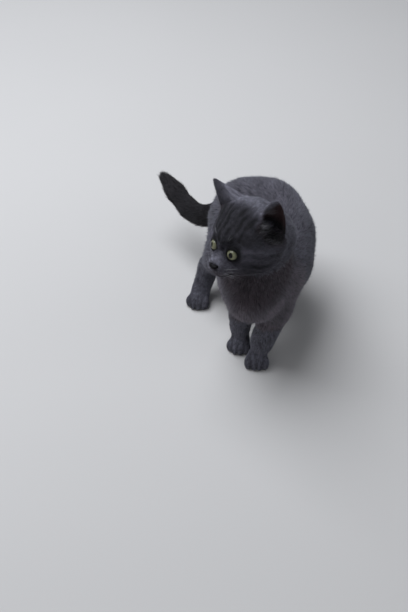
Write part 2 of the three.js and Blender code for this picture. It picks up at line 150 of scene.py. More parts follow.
# The depth, length, half width and density at the front of the face, and on the bridge of the nose.
FACE_COAT = (0.9, 2.8, 0.14, 6.0)
BRIDGE_COAT = (0.6, 1.9, 0.13, 6.4)
GUARD_HAIRS = 0.08  # share of the tufts that are longer and stand out farther
GUARD_LENGTH = 1.15
GUARD_DEPTH = 1.35

# The pieces that the coat is made in, and the most tufts that one of them holds.
COAT_PIECES = {
    "head": ["head"],
    "ears": ["ear_left", "ear_right"],
    "neck": ["neck"],
    "chest": ["chest"],
    "belly": ["belly"],
    "hips": ["hips"],
    "tail": ["tail_base", "tail_middle", "tail_tip"],
    "forelegs": ["foreleg_left", "forepaw_left", "foreleg_right", "forepaw_right"],
    "hindlegs": ["hindleg_left", "hindpaw_left", "hindleg_right", "hindpaw_right"],
}
TUFTS_A_PIECE = 32000
PATCH = 0.003  # side of a tuft's patch on the unwrap

rng = np.random.default_rng(11)

# ---------------------------------------------------------------- small helpers


def unit(v):
    """Vectors made one long."""
    v = np.asarray(v, float)
    return v / np.maximum(np.linalg.norm(v, axis=-1, keepdims=True), 1e-9)


def mix(a, b, t):
    return a + (b - a) * t


def smoothstep(low, high, x):
    t = np.clip((x - low) / (high - low), 0, 1)
    return t * t * (3 - 2 * t)


def dots(a, b):
    """The dot product of each pair of vectors."""
    return np.sum(a * b, axis=-1)


def bell(distance, radius):
    """One in the middle, falling off over the radius."""
    return np.exp(-((distance / radius) ** 2))


def round_angles(count):
    """Even angles all the way round."""
    return 2 * math.pi * np.arange(count) / count


def circle(count):
    """Even points on a circle of radius one."""
    around = round_angles(count)
    return np.column_stack([np.cos(around), np.sin(around)])


def kind_of(node):
    """The region of the coat that a node belongs to: its name without its side or its place."""
    return node.split("_")[0]


def among(numbers, *names):
    """Whether each number, a place in FLESH, is that of one of these nodes."""
    return np.isin(numbers, [FLESH.index(name) for name in names])


def read(items, name, width=1, kind=float):
    """One row of values for each item of a mesh, or one value if the row holds only one."""
    values = np.empty(width * len(items), kind)
    items.foreach_get(name, values)
    return values if width == 1 else values.reshape(-1, width)


def triangles_of(mesh):
    """The corners of each triangle of a mesh."""
    mesh.calc_loop_triangles()
    return read(mesh.loop_triangles, "vertices", 3, np.int32)


def read_mesh(mesh):
    """Points in millimetres and triangles of a mesh, with shared corners merged."""
    corners = triangles_of(mesh)
    places = np.round(read(mesh.vertices, "co", 3) / MM, 3)
    points, merged = np.unique(places, axis=0, return_inverse=True)
    return points, merged.ravel()[corners]


def new_object(name, points, faces, smooth=True):
    """An object from points in millimetres and faces that all have the same number of corners."""
    points = np.asarray(points, float) * MM
    faces = np.asarray(faces, np.int32)
    mesh = bpy.data.meshes.new(name)
    mesh.vertices.add(len(points))
    mesh.vertices.foreach_set("co", points.astype(np.float32).ravel())
    mesh.loops.add(faces.size)
    mesh.loops.foreach_set("vertex_index", faces.ravel())
    mesh.polygons.add(len(faces))
    mesh.polygons.foreach_set("loop_start", np.arange(len(faces), dtype=np.int32) * faces.shape[1])
    mesh.polygons.foreach_set("use_smooth", np.full(len(faces), smooth))
    mesh.update(calc_edges=True)
    made = bpy.data.objects.new(name, mesh)
    bpy.context.scene.collection.objects.link(made)
    return made


def set_attribute(mesh, name, values):
    """Gives each point of a mesh a number or a vector."""
    kind, field = ("FLOAT", "value") if values.ndim == 1 else ("FLOAT_VECTOR", "vector")
    attribute = mesh.attributes.new(name, kind, "POINT")
    attribute.data.foreach_set(field, values.astype(np.float32).ravel())


def evaluated_copy(made):
    """The mesh of an object with its modifiers applied. The object itself is removed."""
    shown = made.evaluated_get(bpy.context.evaluated_depsgraph_get())
    mesh = bpy.data.meshes.new_from_object(shown)
    bpy.data.objects.remove(made)
    return mesh


def clean_up(made):
    """Merges points that coincide, drops flat faces and turns all faces outwards."""
    shape = bmesh.new()
    shape.from_mesh(made.data)
    bmesh.ops.remove_doubles(shape, verts=shape.verts, dist=1e-7)
    bmesh.ops.dissolve_degenerate(shape, edges=shape.edges, dist=1e-8)
    bmesh.ops.recalc_face_normals(shape, faces=shape.faces)
    shape.to_mesh(made.data)
    shape.free()


def vertex_normals(points, faces):
    """The way out of a mesh at each point, from the faces around it."""
    corners = points[faces]
    if faces.shape[1] == 3:
        across = np.cross(corners[:, 1] - corners[:, 0], corners[:, 2] - corners[:, 0])
    else:
        across = np.cross(corners[:, 2] - corners[:, 0], corners[:, 3] - corners[:, 1])
    total = np.zeros_like(points)
    for corner in faces.T:
        for axis in range(3):
            total[:, axis] += np.bincount(corner, across[:, axis], len(points))
    return unit(total)


def grid_faces(rows, columns):
    """Quads between rows of points, where each row is a ring."""
    faces = []
    for row in range(rows - 1):
        for column in range(columns):
            beside = (column + 1) % columns
            faces.append((row * columns + column, row * columns + beside,
                          (row + 1) * columns + beside, (row + 1) * columns + column))
    return np.array(faces)


def halved(quads):
    """Two triangles for each quad."""
    return np.concatenate([quads[:, [0, 1, 2]], quads[:, [0, 2, 3]]])


def stacked(shells):
    """Several meshes as one: its points, its faces, and the number of the mesh each face is from."""
    starts = np.cumsum([0] + [len(points) for points, _ in shells[:-1]])
    points = np.concatenate([points for points, _ in shells])
    faces = np.concatenate([faces + start for (_, faces), start in zip(shells, starts)])
    owner = np.repeat(np.arange(len(shells)), [len(faces) for _, faces in shells])
    return points, faces, owner


def tree_of(points, faces):
    """A mesh as a tree, for finding the place on it that is nearest to a point."""
    return BVHTree.FromPolygons(points.tolist(), faces.tolist())


# ---------------------------------------------------------------- the head's frame

solids = {name: read_mesh(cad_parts[name].data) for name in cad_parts}
middles = {name: (points.min(0) + points.max(0)) / 2 for name, (points, _) in solids.items()}


def eye_axis(name):
    """The middle of an eyeball and the way it looks. The cornea's pole is its farthest point."""
    points, _ = solids[name]
    middle = points.mean(0)
    pole = points[np.argmax(np.linalg.norm(points - middle, axis=1))]
    gaze = unit(pole - middle)
    return pole - gaze * (EYE_RADIUS + CORNEA_RISE), gaze


eyes = {side: eye_axis("eye_" + side) for side in ("left", "right")}
HEAD_X = unit(eyes["left"][0] - eyes["right"][0])
between_gazes = unit(eyes["left"][1] + eyes["right"][1])
lift = math.atan2(math.tan(EYE_LIFT), math.cos(EYE_TURN))
HEAD_Y = math.sin(lift) * np.cross(between_gazes, HEAD_X) - math.cos(lift) * between_gazes
HEAD_Z = np.cross(HEAD_X, HEAD_Y)
HEAD_AXES = np.array([HEAD_X, HEAD_Y, HEAD_Z])
pupils = {side: middle + gaze * EYE_RADIUS for side, (middle, gaze) in eyes.items()}
HEAD_AT = (pupils["left"] + pupils["right"]) / 2 + HEAD_Z * EYE_DROP


def to_head(points):
    """Points brought into the head's frame."""
    return (np.asarray(points, float) - HEAD_AT) @ HEAD_AXES.T


def from_head(points):
    """Points brought back from the head's frame."""
    return np.asarray(points, float) @ HEAD_AXES + HEAD_AT


def from_head_way(ways):
    """Directions brought back from the head's frame."""
    return np.asarray(ways, float) @ HEAD_AXES


def mirrored(q):
    """Points of the head's frame, all brought to its left side."""
    return np.column_stack([np.abs(q[:, 0]), q[:, 1], q[:, 2]])


nose_in_head = to_head(solids["nose"][0])
NOSE_AT = (nose_in_head.min(0) + nose_in_head.max(0)) / 2
NOSE_HALF = (nose_in_head.max(0) - nose_in_head.min(0)) / 2


def nose_width(z):
    """How wide the nose pad is at a height of -1 to 1 over its middle."""
    return mix(0.42, 1.26, smoothstep(-1, 0.4, z))


# ---------------------------------------------------------------- ears


def ear_frame(ear):
    """The middle of an ear's base, and the ways its base, its tip and its mouth face."""
    inner, outer, tip = (np.array(ear[key], float) for key in ("inner", "outer", "tip"))
    base = (inner + outer) / 2
    across = outer - inner
    up = tip - base
    opening = unit(np.cross(across, up))
    if opening[1] > 0:
        opening = -opening
    return base, across, up, opening


def ear_shell(ear):
    """Closed cupped shell of one ear, from crescent rings, in the head's frame."""
    base, across, up, opening = ear_frame(ear)
    width = np.linalg.norm(across)
    turn = np.sign(dots(np.cross(opening, up), across))
    rings = []
    for ring in range(EAR_RINGS + 1):
        t = mix(EAR_ROOT, 1, (ring / EAR_RINGS) ** 0.9)
        chord = width * math.sqrt(max(1 - max(t, 0) ** 2, 0.018))
        to_inner, to_outer = (math.radians(mix(*side, max(t, 0))) for side in ear["wrap"])
        radius = chord / sum(math.sin(min(wrap, math.pi / 2)) for wrap in (to_inner, to_outer))
        middle = radius * (math.sin(to_outer) - math.sin(to_inner)) / 2
        thickness = min(mix(*EAR_THICKNESS, t), radius * 0.8)
        angles = np.linspace(-to_inner, to_outer, EAR_STEPS + 1)[:: int(turn)]
        for r, way in ((radius, angles), (radius - thickness, angles[::-1])):
            forward = radius - (width / 2) * (1 - t) - r * np.cos(way)
            aside = (r * np.sin(way) - middle) / width
            rings.append(base + up * t + np.outer(aside, across) + np.outer(forward, opening))
    count = 2 * (EAR_STEPS + 1)
    faces = list(grid_faces(EAR_RINGS + 1, count))
    top = EAR_RINGS * count
    for i in range(EAR_STEPS):
        faces.append((i, count - 1 - i, count - 2 - i, i + 1))
        faces.append((top + i + 1, top + count - 2 - i, top + count - 1 - i, top + i))
    return np.concatenate(rings), np.array(faces)


def ear_place(q, ear):
    """Where points lie on an ear: height and side as shares of its size, and how far forward."""
    base, across, up, opening = ear_frame(ear)
    from_base = q - base
    height = dots(from_base, up) / dots(up, up)
    side = dots(from_base, across) / dots(across, across)
    return height, side, from_base @ opening


def ear_pit(q, ear):
    """How far points lie from the middle of the hollow below an ear's cup, as a share of its size."""
    base, across, up, opening = ear_frame(ear)
    from_pit = q - (base + 3 * opening - 0.09 * up + 0.10 * across)
    ways = (unit(across), unit(up), opening)
    return np.linalg.norm([from_pit @ way / size for way, size in zip(ways, PIT_SIZE)], axis=0)


def pit_share(q, way, ear):
    """One in the hollow below an ear's cup. way is the surface's normal, in the head's frame."""
    height, _, _ = ear_place(q, ear)
    facing = smoothstep(-0.35, 0.15, way @ ear_frame(ear)[3])
    return (1 - smoothstep(0.5, 1.0, ear_pit(q, ear))) * (1 - smoothstep(0.08, 0.25, height)) * facing


def cup_share(q, way, ear):
    """One inside the cup of an ear. way is the surface's normal, in the head's frame."""
    base, across, up, opening = ear_frame(ear)
    height, side, _ = ear_place(q, ear)
    inside = smoothstep(-0.12, 0.02, height) * (1 - smoothstep(0.98, 1.05, height))
    inside = inside * (1 - smoothstep(0.42, 0.55, np.abs(side)))
    near = 1 - smoothstep(14, 20, np.linalg.norm(q - base - np.outer(height, up), axis=1))
    return inside * near * smoothstep(0.0, 0.35, way @ opening)


# ---------------------------------------------------------------- skin


class Net:
    """The neighbours of each point of a closed mesh, for spreading values over it."""

    def __init__(self, count, faces):
        self.start = faces.ravel()
        self.end = np.roll(faces, -1, axis=1).ravel()
        self.neighbours = np.bincount(self.start, minlength=count)

    def mean(self, values):
        columns = values.reshape(len(values), -1)
        summed = [np.bincount(self.start, column[self.end], len(values)) for column in columns.T]
        return (np.stack(summed, 1) / self.neighbours[:, None]).reshape(values.shape)

    def spread(self, values, passes, share=0.5):
        for _ in range(passes):
            values = values + share * (self.mean(values) - values)
        return values

    def ease(self, values, passes):
        """Spreads values, at each point for that point's own number of passes."""
        for turn in range(int(passes.max()) + 1):
            share = 0.5 * np.clip(passes - turn, 0, 1)
            if values.ndim == 2:
                share = share[:, None]
            values = values + share * (self.mean(values) - values)
        return values


def ball(middle, radius):
    """Points and triangles of a round ball."""
    shape = bmesh.new()
    bmesh.ops.create_icosphere(shape, subdivisions=4, radius=radius)
    shape.verts.index_update()
    places = np.array([tuple(vertex.co) for vertex in shape.verts])
    triangles = np.array([[vertex.index for vertex in face.verts] for face in shape.faces])
    shape.free()
    return places + middle, triangles


def flesh_shells():
    """Closed shells of all the flesh, which overlap, with fine ears and a swelling over each eye."""
    shells = []
    for name in FLESH:
        solid, triangles = solids[name]
        if kind_of(name) == "ear":
            shell, quads = ear_shell(EARS[name])
            shells.append((from_head(shell), halved(quads)))
        else:
            shells.append((solid + SEAM_OVERLAP * vertex_normals(solid, triangles), triangles))
    return shells + [ball(middle, EYE_RADIUS + LID_SWELLING) for middle, _ in eyes.values()]


def main_parts(points, faces):
    """The mesh without loose scraps and closed pockets."""
    label = np.arange(len(points))
    start, end = faces.ravel(), np.roll(faces, -1, axis=1).ravel()
    while True:
        low = label.copy()
        np.minimum.at(low, start, label[end])
        low = low[low]
        if np.array_equal(low, label):
            break
        label = low
    size = np.bincount(label, minlength=len(points))
    kept = size[label] > 0.2 * len(points)
    renumber = np.cumsum(kept) - 1
    return points[kept], renumber[faces[kept[faces[:, 0]]]]


def first_skin():
    """One closed net of quads over all the flesh, at the tips of the coat."""
    points, triangles, _ = stacked(flesh_shells())
    draft = new_object("draft", points, triangles)
    voxels = draft.modifiers.new("voxels", "REMESH")
    voxels.mode = "VOXEL"
    voxels.voxel_size = VOXEL * MM
    mesh = evaluated_copy(draft)
    places = read(mesh.vertices, "co", 3) / MM
    corners = read(mesh.loops, "vertex_index", 1, np.int32).reshape(-1, 4)
    bpy.data.meshes.remove(mesh)
    return main_parts(places, corners)


def nearest_nodes(points):
    """The number in FLESH of the solid nearest to each point. An ear counts from its base up."""
    corners, faces, owner = stacked([solids[name] for name in FLESH])
    tree = tree_of(corners, faces)
    nearest = np.array([owner[tree.find_nearest(p)[2]] for p in points.tolist()])
    q = to_head(points)
    for name, ear in EARS.items():
        tree = tree_of(*ear_shell(ear))
        height, _, _ = ear_place(q, ear)
        near = (height > 0.03) & (np.linalg.norm(q - ear_frame(ear)[0], axis=1) < 60)
        for number in np.flatnonzero(near):
            if tree.find_nearest(q[number].tolist(), 1.1)[0] is not None:
                nearest[number] = FLESH.index(name)
    return nearest


def face_share(q):
    """One on the front of the face, none behind the cheeks. q is in the head's frame."""
    return 1 - smoothstep(4, 32, q[:, 1] + 0.25 * np.abs(q[:, 0]))


points, quads = first_skin()
net = Net(len(points), quads)
node_number = nearest_nodes(points)
coat = np.array([COAT[kind_of(name)] for name in FLESH])[node_number]

# Smooth the flats of the solids away, longest where they are widest, and give back the bulk that
# this takes off.
ears_only = among(node_number, *EARS)
by_ear = np.maximum(ears_only, np.clip(2 * net.spread(ears_only.astype(float), 10), 0, 1))
passes = mix(net.spread(coat[:, 0], 20), COAT["ear"][0], by_ear)
rough = points
points = net.ease(points, passes)
normals = vertex_normals(points, quads)
lost = net.ease(dots(rough - points, normals), passes)
points = points + normals * (lost * (1 - by_ear))[:, None]

# The coat is thinner on the face, on the soles and on the rims of the ears.
q = to_head(points)
normals = vertex_normals(points, quads)
face = face_share(q) * among(node_number, "head")
bridge = bell(np.abs(q[:, 0]), 7) * (1 - smoothstep(0, 10, q[:, 1])) * face
under = (1 - smoothstep(48, 84, points[:, 2])) * among(node_number, "chest", "belly", "hips")
coat[:, 1:5] = mix(coat[:, 1:5], np.array(COAT["foreleg"][1:5]), 0.75 * under[:, None])
coat[:, 1:] = net.spread(coat[:, 1:], 90)
coat[ears_only, 1:] = COAT["ear"][1:]
coat[:, 1:5] = mix(coat[:, 1:5], np.array(FACE_COAT), face[:, None])
coat[:, 1:5] = mix(coat[:, 1:5], np.array(BRIDGE_COAT), bridge[:, None])
coat[:, 1:] = net.spread(coat[:, 1:], 14)
coat[ears_only, 1] = COAT["ear"][1]
on_sole = (1 - smoothstep(1.0, 4.0, points[:, 2])) * smoothstep(0.3, 0.8, -normals[:, 2])
depth = coat[:, 1] * (1 - 0.85 * on_sole)
inward = unit(net.spread(normals, 6))
points = points - inward * depth[:, None]
points = net.spread(points, 4, 0.5 * (1 - ears_only[:, None]))

# ---------------------------------------------------------------- lie of the coat


def lie_of_coat():
    """The way the hair points at each point of the skin: away from the nose over the head, back
    and down along the body, down the legs and forward over the toes."""
    ways = np.zeros_like(points)
    down = np.array([0, 0, -1.0])
    for number, name in enumerate(FLESH):
        here = node_number == number
        kind = kind_of(name)
        if kind == "head":
            nose = from_head(NOSE_AT + (0, 1, 0))
            ways[here] = unit(points[here] - nose) + 0.35 * HEAD_Y
        elif kind == "ear":
            ways[here] = unit(from_head_way(ear_frame(EARS[name])[2]))
        elif name in SPINE:
            place = SPINE.index(name)
            before, after = SPINE[max(place - 1, 0)], SPINE[min(place + 1, len(SPINE) - 1)]
            along = unit(middles[after] - middles[before])
            if kind == "tail":
                longest = np.linalg.eigh(np.cov(solids[name][0].T))[1][:, -1]
                ways[here] = longest * np.sign(dots(longest, along))
            else:
                ways[here] = along + 0.65 * down
        elif kind.endswith("leg"):
            ways[here] = down + (0, 0.3, 0)
        else:
            turn = math.radians(PAW_TURN[name])
            ways[here] = np.array([math.sin(turn), -math.cos(turn), -0.6])
    return net.spread(ways, 60)


lie = lie_of_coat()

# ---------------------------------------------------------------- carve the head and the paws

# Swellings and hollows of the face: centre in the head's frame on its left side, reach, and height.
FACE_FORMS = [
    ((6.4, -9.5, -18.5), 5.0, 0.9),  # whisker pad
    ((5.5, -6.0, -10.5), 4.5, 0.6),  # side of the bridge
    ((0, -7.5, -26.0), 4.6, 0.6),  # chin
    ((13.0, -3.5, 9.0), 6.5, 1.0),  # brow ridge
    ((0, -3.5, 1.0), 5.0, -0.5),  # stop between the eyes
    ((15.0, -0.5, -12.0), 5.0, -0.5),  # hollow under the eye
    ((24.0, 14.0, -12.0), 11.0, 1.0),  # cheek
]
# The line of the closed lips on the left side, in the head's frame: below the nose, down between
# the whisker pads, then back along the lip.
LIP_LINE = np.array([
    (0, -13.5, -19), (0, -12.5, -22.6), (4.0, -10.5, -24.2), (9.0, -5.5, -23.2), (13.5, 1.5, -20.8),
])
LIP_DEPTH = 1.5
# The values that the skin carries while it is refined and thinned, by their columns.
LENGTH, WIDTH, DENSITY, LIGHT, DEPTH, NODE = 0, 1, 2, 3, 4, 8
LIE = slice(5, 8)


def from_lips(side):
    """How far points, all brought to the head's left side, lie from the line of the lips."""
    nearest = np.full(len(side), np.inf)
    for a, b in zip(LIP_LINE[:-1], LIP_LINE[1:]):
        t = np.clip((side - a) @ (b - a) / dots(b - a, b - a), 0, 1)
        nearest = np.minimum(nearest, np.linalg.norm(side - a - np.outer(t, b - a), axis=1))
    return nearest


def refine_face(points, quads, fields):
    """Splits each face of the net at the front of the head in four, and returns triangles."""
    mesh = bpy.data.meshes.new("draft")
    mesh.from_pydata(points.tolist(), [], quads.tolist())
    for number, column in enumerate(fields.T):
        set_attribute(mesh, "field_%d" % number, column)
    shape = bmesh.new()
    shape.from_mesh(mesh)
    shape.verts.ensure_lookup_table()
    q = to_head(points)
    front = (np.abs(q[:, 0]) < 25) & (q[:, 1] < 16) & (q[:, 2] > -34) & (q[:, 2] < 16)
    edges = [edge for edge in shape.edges if all(front[vertex.index] for vertex in edge.verts)]
    bmesh.ops.subdivide_edges(shape, edges=edges, cuts=1, use_grid_fill=True)
    bmesh.ops.triangulate(shape, faces=shape.faces)
    shape.to_mesh(mesh)
    shape.free()
    return mesh


def thinned_skin(points, quads, fields):
    """Points, triangles and values of the skin, fine on the head and the feet, sparer elsewhere."""
    mesh = refine_face(points, quads, fields)
    draft = bpy.data.objects.new("draft", mesh)
    bpy.context.scene.collection.objects.link(draft)
    places = read(mesh.vertices, "co", 3)
    from_skull = np.linalg.norm(to_head(places) - SKULL_AT, axis=1)
    away = (from_skull > SKULL_REACH) & (places[:, 2] > FEET_HIGH)
    draft.vertex_groups.new(name="body").add(np.flatnonzero(away).tolist(), 1.0, "REPLACE")
    thinner = draft.modifiers.new("fewer", "DECIMATE")
    thinner.ratio = SPARE_FACES
    thinner.vertex_group = "body"
    thinner.vertex_group_factor = 10
    mesh = evaluated_copy(draft)
    carried = [mesh.attributes["field_%d" % number].data for number in range(fields.shape[1])]
    values = np.stack([read(column, "value", 1, np.float32) for column in carried], 1)
    return read(mesh.vertices, "co", 3), triangles_of(mesh), values


def eye_sides(side):
    """Ways across an eye, towards its outer corner, and up."""
    gaze = eyes[side][1]
    up = unit(HEAD_Z - gaze * dots(HEAD_Z, gaze))
    outward = unit(np.cross(up, gaze))
    return outward * np.sign(dots(outward, HEAD_X) * SIDES[side]), up


def lid_opening(around):
    """Half angle of the opening between the lids, seen from the middle of the eyeball."""
    tall = np.radians(np.where(np.sin(around) > 0, *LID_TALL))
    oval = 1 / np.sqrt((np.cos(around) / LID_WIDE) ** 2 + (np.sin(around) / tall) ** 2)
    from_nose = np.arctan2(np.sin(around - math.pi), np.cos(around - math.pi))
    return oval + LID_CORNER * bell(from_nose - 0.25, 0.28)


def round_eye(points, side):
    """Lays the skin over an eyeball outside the edge of its lids, and under it inside that edge."""
    middle, gaze = eyes[side]
    outward, up = eye_sides(side)
    out = points - middle
    distance = np.linalg.norm(out, axis=1)
    angle = np.arccos(np.clip(unit(out) @ gaze, -1, 1))
    past_edge = np.degrees(angle - lid_opening(np.arctan2(out @ up, out @ outward)))
    inside = past_edge < LID_EDGE
    low = EYE_RADIUS + np.where(inside, -1.0, 0.6)
    high = EYE_RADIUS + np.where(inside, -1.0, 0.9 + 0.11 * np.maximum(past_edge - LID_EDGE, 0))
    held = mix(distance, np.clip(distance, low, high), 1 - smoothstep(22, 45, past_edge))
    held = np.where((distance < 16) & (angle < math.radians(100)), held, distance)
    return middle + unit(out) * held[:, None]


def carve_head(points, normals):
    """Adds the forms of the face, the lips and the ear canals, and keeps clear of the eyeballs."""
    q = to_head(points)
    side = mirrored(q)
    rise = np.zeros(len(points))
    for centre, reach, height in FACE_FORMS:
        rise += height * bell(np.linalg.norm(side - centre, axis=1), reach)
    rise -= LIP_DEPTH * bell(from_lips(side), 1.0)
    points = points + normals * rise[:, None]
    for ear in EARS.values():
        _, across, _ = ear_place(q, ear)
        pit = pit_share(q, normals @ HEAD_AXES.T, ear) * (1 - smoothstep(0.15, 0.42, across))
        points = points - PIT_DEPTH * pit[:, None] * from_head_way(ear_frame(ear)[3])
    for side in eyes:
        points = round_eye(points, side)
    return points


def paw_frame(name):
    """The front of a paw on the floor, the ways along and across its toes, and its width."""
    solid, _ = solids[name]
    turn = math.radians(PAW_TURN[name])
    ahead = np.array([math.sin(turn), -math.cos(turn), 0])
    across = np.array([math.cos(turn), math.sin(turn), 0])
    low = solid[solid[:, 2] < 9]
    sides = low @ across
    middle = across * (sides.max() + sides.min()) / 2
    return middle + ahead * (low @ ahead).max(), ahead, across, sides.max() - sides.min()


def carve_paws(points, normals):
    """Parts each paw's front into four round toes. Returns the points and how deep each lies."""
    crease = np.zeros(len(points))
    swelling = np.zeros(len(points))
    for name in PAW_TURN:
        tip, ahead, across, span = paw_frame(name)
        back = (tip - points) @ ahead
        side = (points - tip) @ across / span
        on_toes = (1 - smoothstep(10, 17, back)) * (1 - smoothstep(12, 17, points[:, 2]))
        on_toes = on_toes * among(node_number, name)
        grooves, knuckles = (
            np.max([bell((side - place) * span, reach) for place in places], axis=0)
            for places, reach in ((TOE_GROOVES, TOE_GROOVE_WIDTH), (TOE_MIDDLES, TOE_WIDTH))
        )
        crease += grooves * on_toes
        swelling += knuckles * on_toes * bell(back - 4.5, 6)
    rise = TOE_SWELLING * swelling - TOE_GROOVE_DEPTH * crease
    carved = points + normals * rise[:, None]
    carved[:, 2] = np.maximum(carved[:, 2], 0)
    return carved, crease


fields = np.column_stack([coat[:, 2:], depth, lie, node_number])
points, triangles, fields = thinned_skin(points, quads, fields)
node_number = np.round(fields[:, NODE]).astype(int)
points = carve_head(points, vertex_normals(points, triangles))
points, toe_creases = carve_paws(points, vertex_normals(points, triangles))
normals = vertex_normals(points, triangles)

# ---------------------------------------------------------------- markings, painted highlights and painted shade

STRIPE_DARK = 0.34  # how much darker the stripes are
STRIPE_PALE = 0.16  # how much lighter the hair below each stripe of the cheek is
STRIPES_ABOVE = (3.2, 9.0, 15.5)  # of the forehead, from the middle line outwards
STRIPES_BESIDE = (-2, -11, -19)  # of the cheek, by their height in the head's frame
# Soft patches of the face: how much lighter, centre in the head's frame on its left side, and size.
FACE_PATCHES = [
    (-0.34, (31, 15, -14), (12, 14, 8)),  # back of the cheek
    (0.30, (9.5, -2, -12.5), (4, 6, 3.5)),  # inner corner of the eye
    (2.0, (1.0, -11, -11), (4.6, 6.5, 5.2)),  # painted highlight on the bridge of the nose
    (0.55, (7, -9, -21), (6, 6, 4)),  # whisker pad
]

q = to_head(points)
q_side = mirrored(q)
q_normals = normals @ HEAD_AXES.T
on_head = among(node_number, "head", *EARS)
face = face_share(q) * on_head


def waviness(q, size):
    """A gentle wave over the surface, so that no stripe is straight."""
    return np.sin(q[:, 1] / size + 1.3 * np.sin(q[:, 2] / size)) * np.cos(q[:, 0] / size + 0.7)


def head_marks_and_painted_light():
    """Faint tabby marks of the face and crown, with a painted highlight over the crown and on the
    bridge of the nose, and partly painted shade over the forehead. Below none is darker, above none is
    lighter.
    """
    x, y, z = q_side.T
    wave = waviness(q, 4.0)
    marks = np.zeros(len(q))
    broken = np.clip(0.75 + 0.5 * waviness(q + (3, 5, 1), 2.6), 0.1, 1.2)
    forehead = broken * smoothstep(4, 14, z) * (1 - smoothstep(30, 46, y))
    for centre in STRIPES_ABOVE:
        marks -= STRIPE_DARK * forehead * bell(x + wave - centre - 0.12 * (z - 10), 1.6)
    cheek = smoothstep(15, 22, x + 0.4 * y) * smoothstep(2, 12, y) * (1 - smoothstep(34, 46, y))
    for centre in STRIPES_BESIDE:
        from_stripe = z + wave - centre + 0.22 * (y - 8)
        marks -= STRIPE_DARK * broken * cheek * bell(from_stripe, 2.0)
        marks += STRIPE_PALE * broken * cheek * bell(from_stripe - 4.2, 1.7)
    from_eye = np.linalg.norm((q_side - to_head(pupils["left"])) * (1, 0.6, 1), axis=1)
    marks -= 0.24 * bell(from_eye, 12)
    marks -= 0.5 * (1 - smoothstep(6.8, 8.3, from_eye))
    marks += 0.30 * bell(np.abs(from_eye - 10.5), 1.4) * smoothstep(0, 4, z)
    # Darker over the forehead, partly the coat's own dark colour and partly painted shade; lighter over
    # the crown, a painted highlight.
    marks -= 0.48 * smoothstep(0, 8, z) * (1 - smoothstep(20, 40, y))
    marks += 0.68 * smoothstep(24, 38, y) * smoothstep(8, 20, z)
    marks -= 1.1 * bell(from_lips(q_side), 1.7)
    for strength, centre, size in FACE_PATCHES:
        marks += strength * bell(np.linalg.norm((q_side - centre) / size, axis=1), 1.0)
    return marks * on_head


def ear_shade_share(q, way, ear):
    """One deep in the cup of an ear, where its lining is painted black as painted shade."""
    height, _, _ = ear_place(q, ear)
    return cup_share(q, way, ear) * (1 - smoothstep(0.1, 0.5, height))


def over_ears(share):
    """At each point of the skin, the greater of what the two ears give."""
    return np.maximum(*(share(q, q_normals, ear) for ear in EARS.values()))


pits = over_ears(pit_share) * on_head
pit_rims = over_ears(lambda q, way, ear: bell(ear_pit(q, ear), 1.15)) * on_head
lining = np.maximum(over_ears(cup_share) * on_head, pits)
# hollow: where the ear's lining is painted black, as painted shade deep in the cup and in the pit below it
hollow = np.maximum(over_ears(ear_shade_share), pits)
# How light the coat is, from its regions and the head's marks with their painted light, made darker in the
# grooves between the toes as painted shade.
light = (fields[:, LIGHT] + head_marks_and_painted_light()) * (1 - 0.22 * np.clip(toe_creases, 0, 1))
warm = np.clip(1.9 * (1 - fields[:, LIGHT]), 0, 0.6) + 0.5 * bell(q_side[:, 2] + 24, 6) * face
on_throat = among(node_number, "neck", "chest") * smoothstep(-0.3, 0.6, -normals[:, 1])
warm = np.clip(warm + 0.75 * on_throat, 0, 1)

# ---------------------------------------------------------------- materials


class Nodes:
    """Shorthand for building one node tree."""

    def __init__(self, tree):
        self.tree = tree

    def put(self, value, socket):
        """Feeds a socket from another one, or sets it to one value."""
        if isinstance(value, bpy.types.NodeSocket):
            self.tree.links.new(value, socket)
        else:
            socket.default_value = value

    def add(self, kind, settings=None, **inputs):
        """A new node. An input is given by its name, or by its number after an underscore."""
        node = self.tree.nodes.new(kind)
        for key, value in (settings or {}).items():
            setattr(node, key, value)
        for key, value in inputs.items():
            self.put(value, node.inputs[int(key[1:]) if key[0] == "_" else key.replace("_", " ")])
        return node

    def maths(self, operation, a, b):
        return self.add("ShaderNodeMath", {"operation": operation}, _0=a, _1=b).outputs[0]

    def vector_maths(self, operation, output=0, **inputs):
        return self.add("ShaderNodeVectorMath", {"operation": operation}, **inputs).outputs[output]

    def noise(self, **inputs):
        return self.add("ShaderNodeTexNoise", **inputs).outputs[0]

    def bump(self, **inputs):
        return self.add("ShaderNodeBump", **inputs).outputs[0]

    def position(self):
        return self.add("ShaderNodeNewGeometry").outputs["Position"]

    def attribute(self, name, output="Fac"):
        return self.add("ShaderNodeAttribute", {"attribute_name": name}).outputs[output]

    def blend(self, share, a, b, kind="MIX"):
        settings = {"data_type": "RGBA", "blend_type": kind}
        return self.add("ShaderNodeMix", settings, _0=share, _6=a, _7=b).outputs[2]

    def times(self, tint, amount):
        """A colour with each of its channels multiplied by the same amount."""
        grey = self.add("ShaderNodeCombineColor", Red=amount, Green=amount, Blue=amount)
        return self.blend(1.0, tint, grey.outputs[0], "MULTIPLY")

    def ramp(self, value, *stops):
        node = self.add("ShaderNodeValToRGB", _0=value)
        ramp = node.color_ramp
        ramp.elements[0].position, ramp.elements[0].color = stops[0]
        ramp.elements[1].position, ramp.elements[1].color = stops[-1]
        for position, shade in stops[1:-1]:
            ramp.elements.new(position).color = shade
        return node.outputs[0]

    def step(self, value, low, high, out_low=0.0, out_high=1.0):
        node = self.add("ShaderNodeMapRange", {"interpolation_type": "SMOOTHSTEP"},
                        _0=value, _1=low, _2=high, _3=out_low, _4=out_high)
        return node.outputs[0]


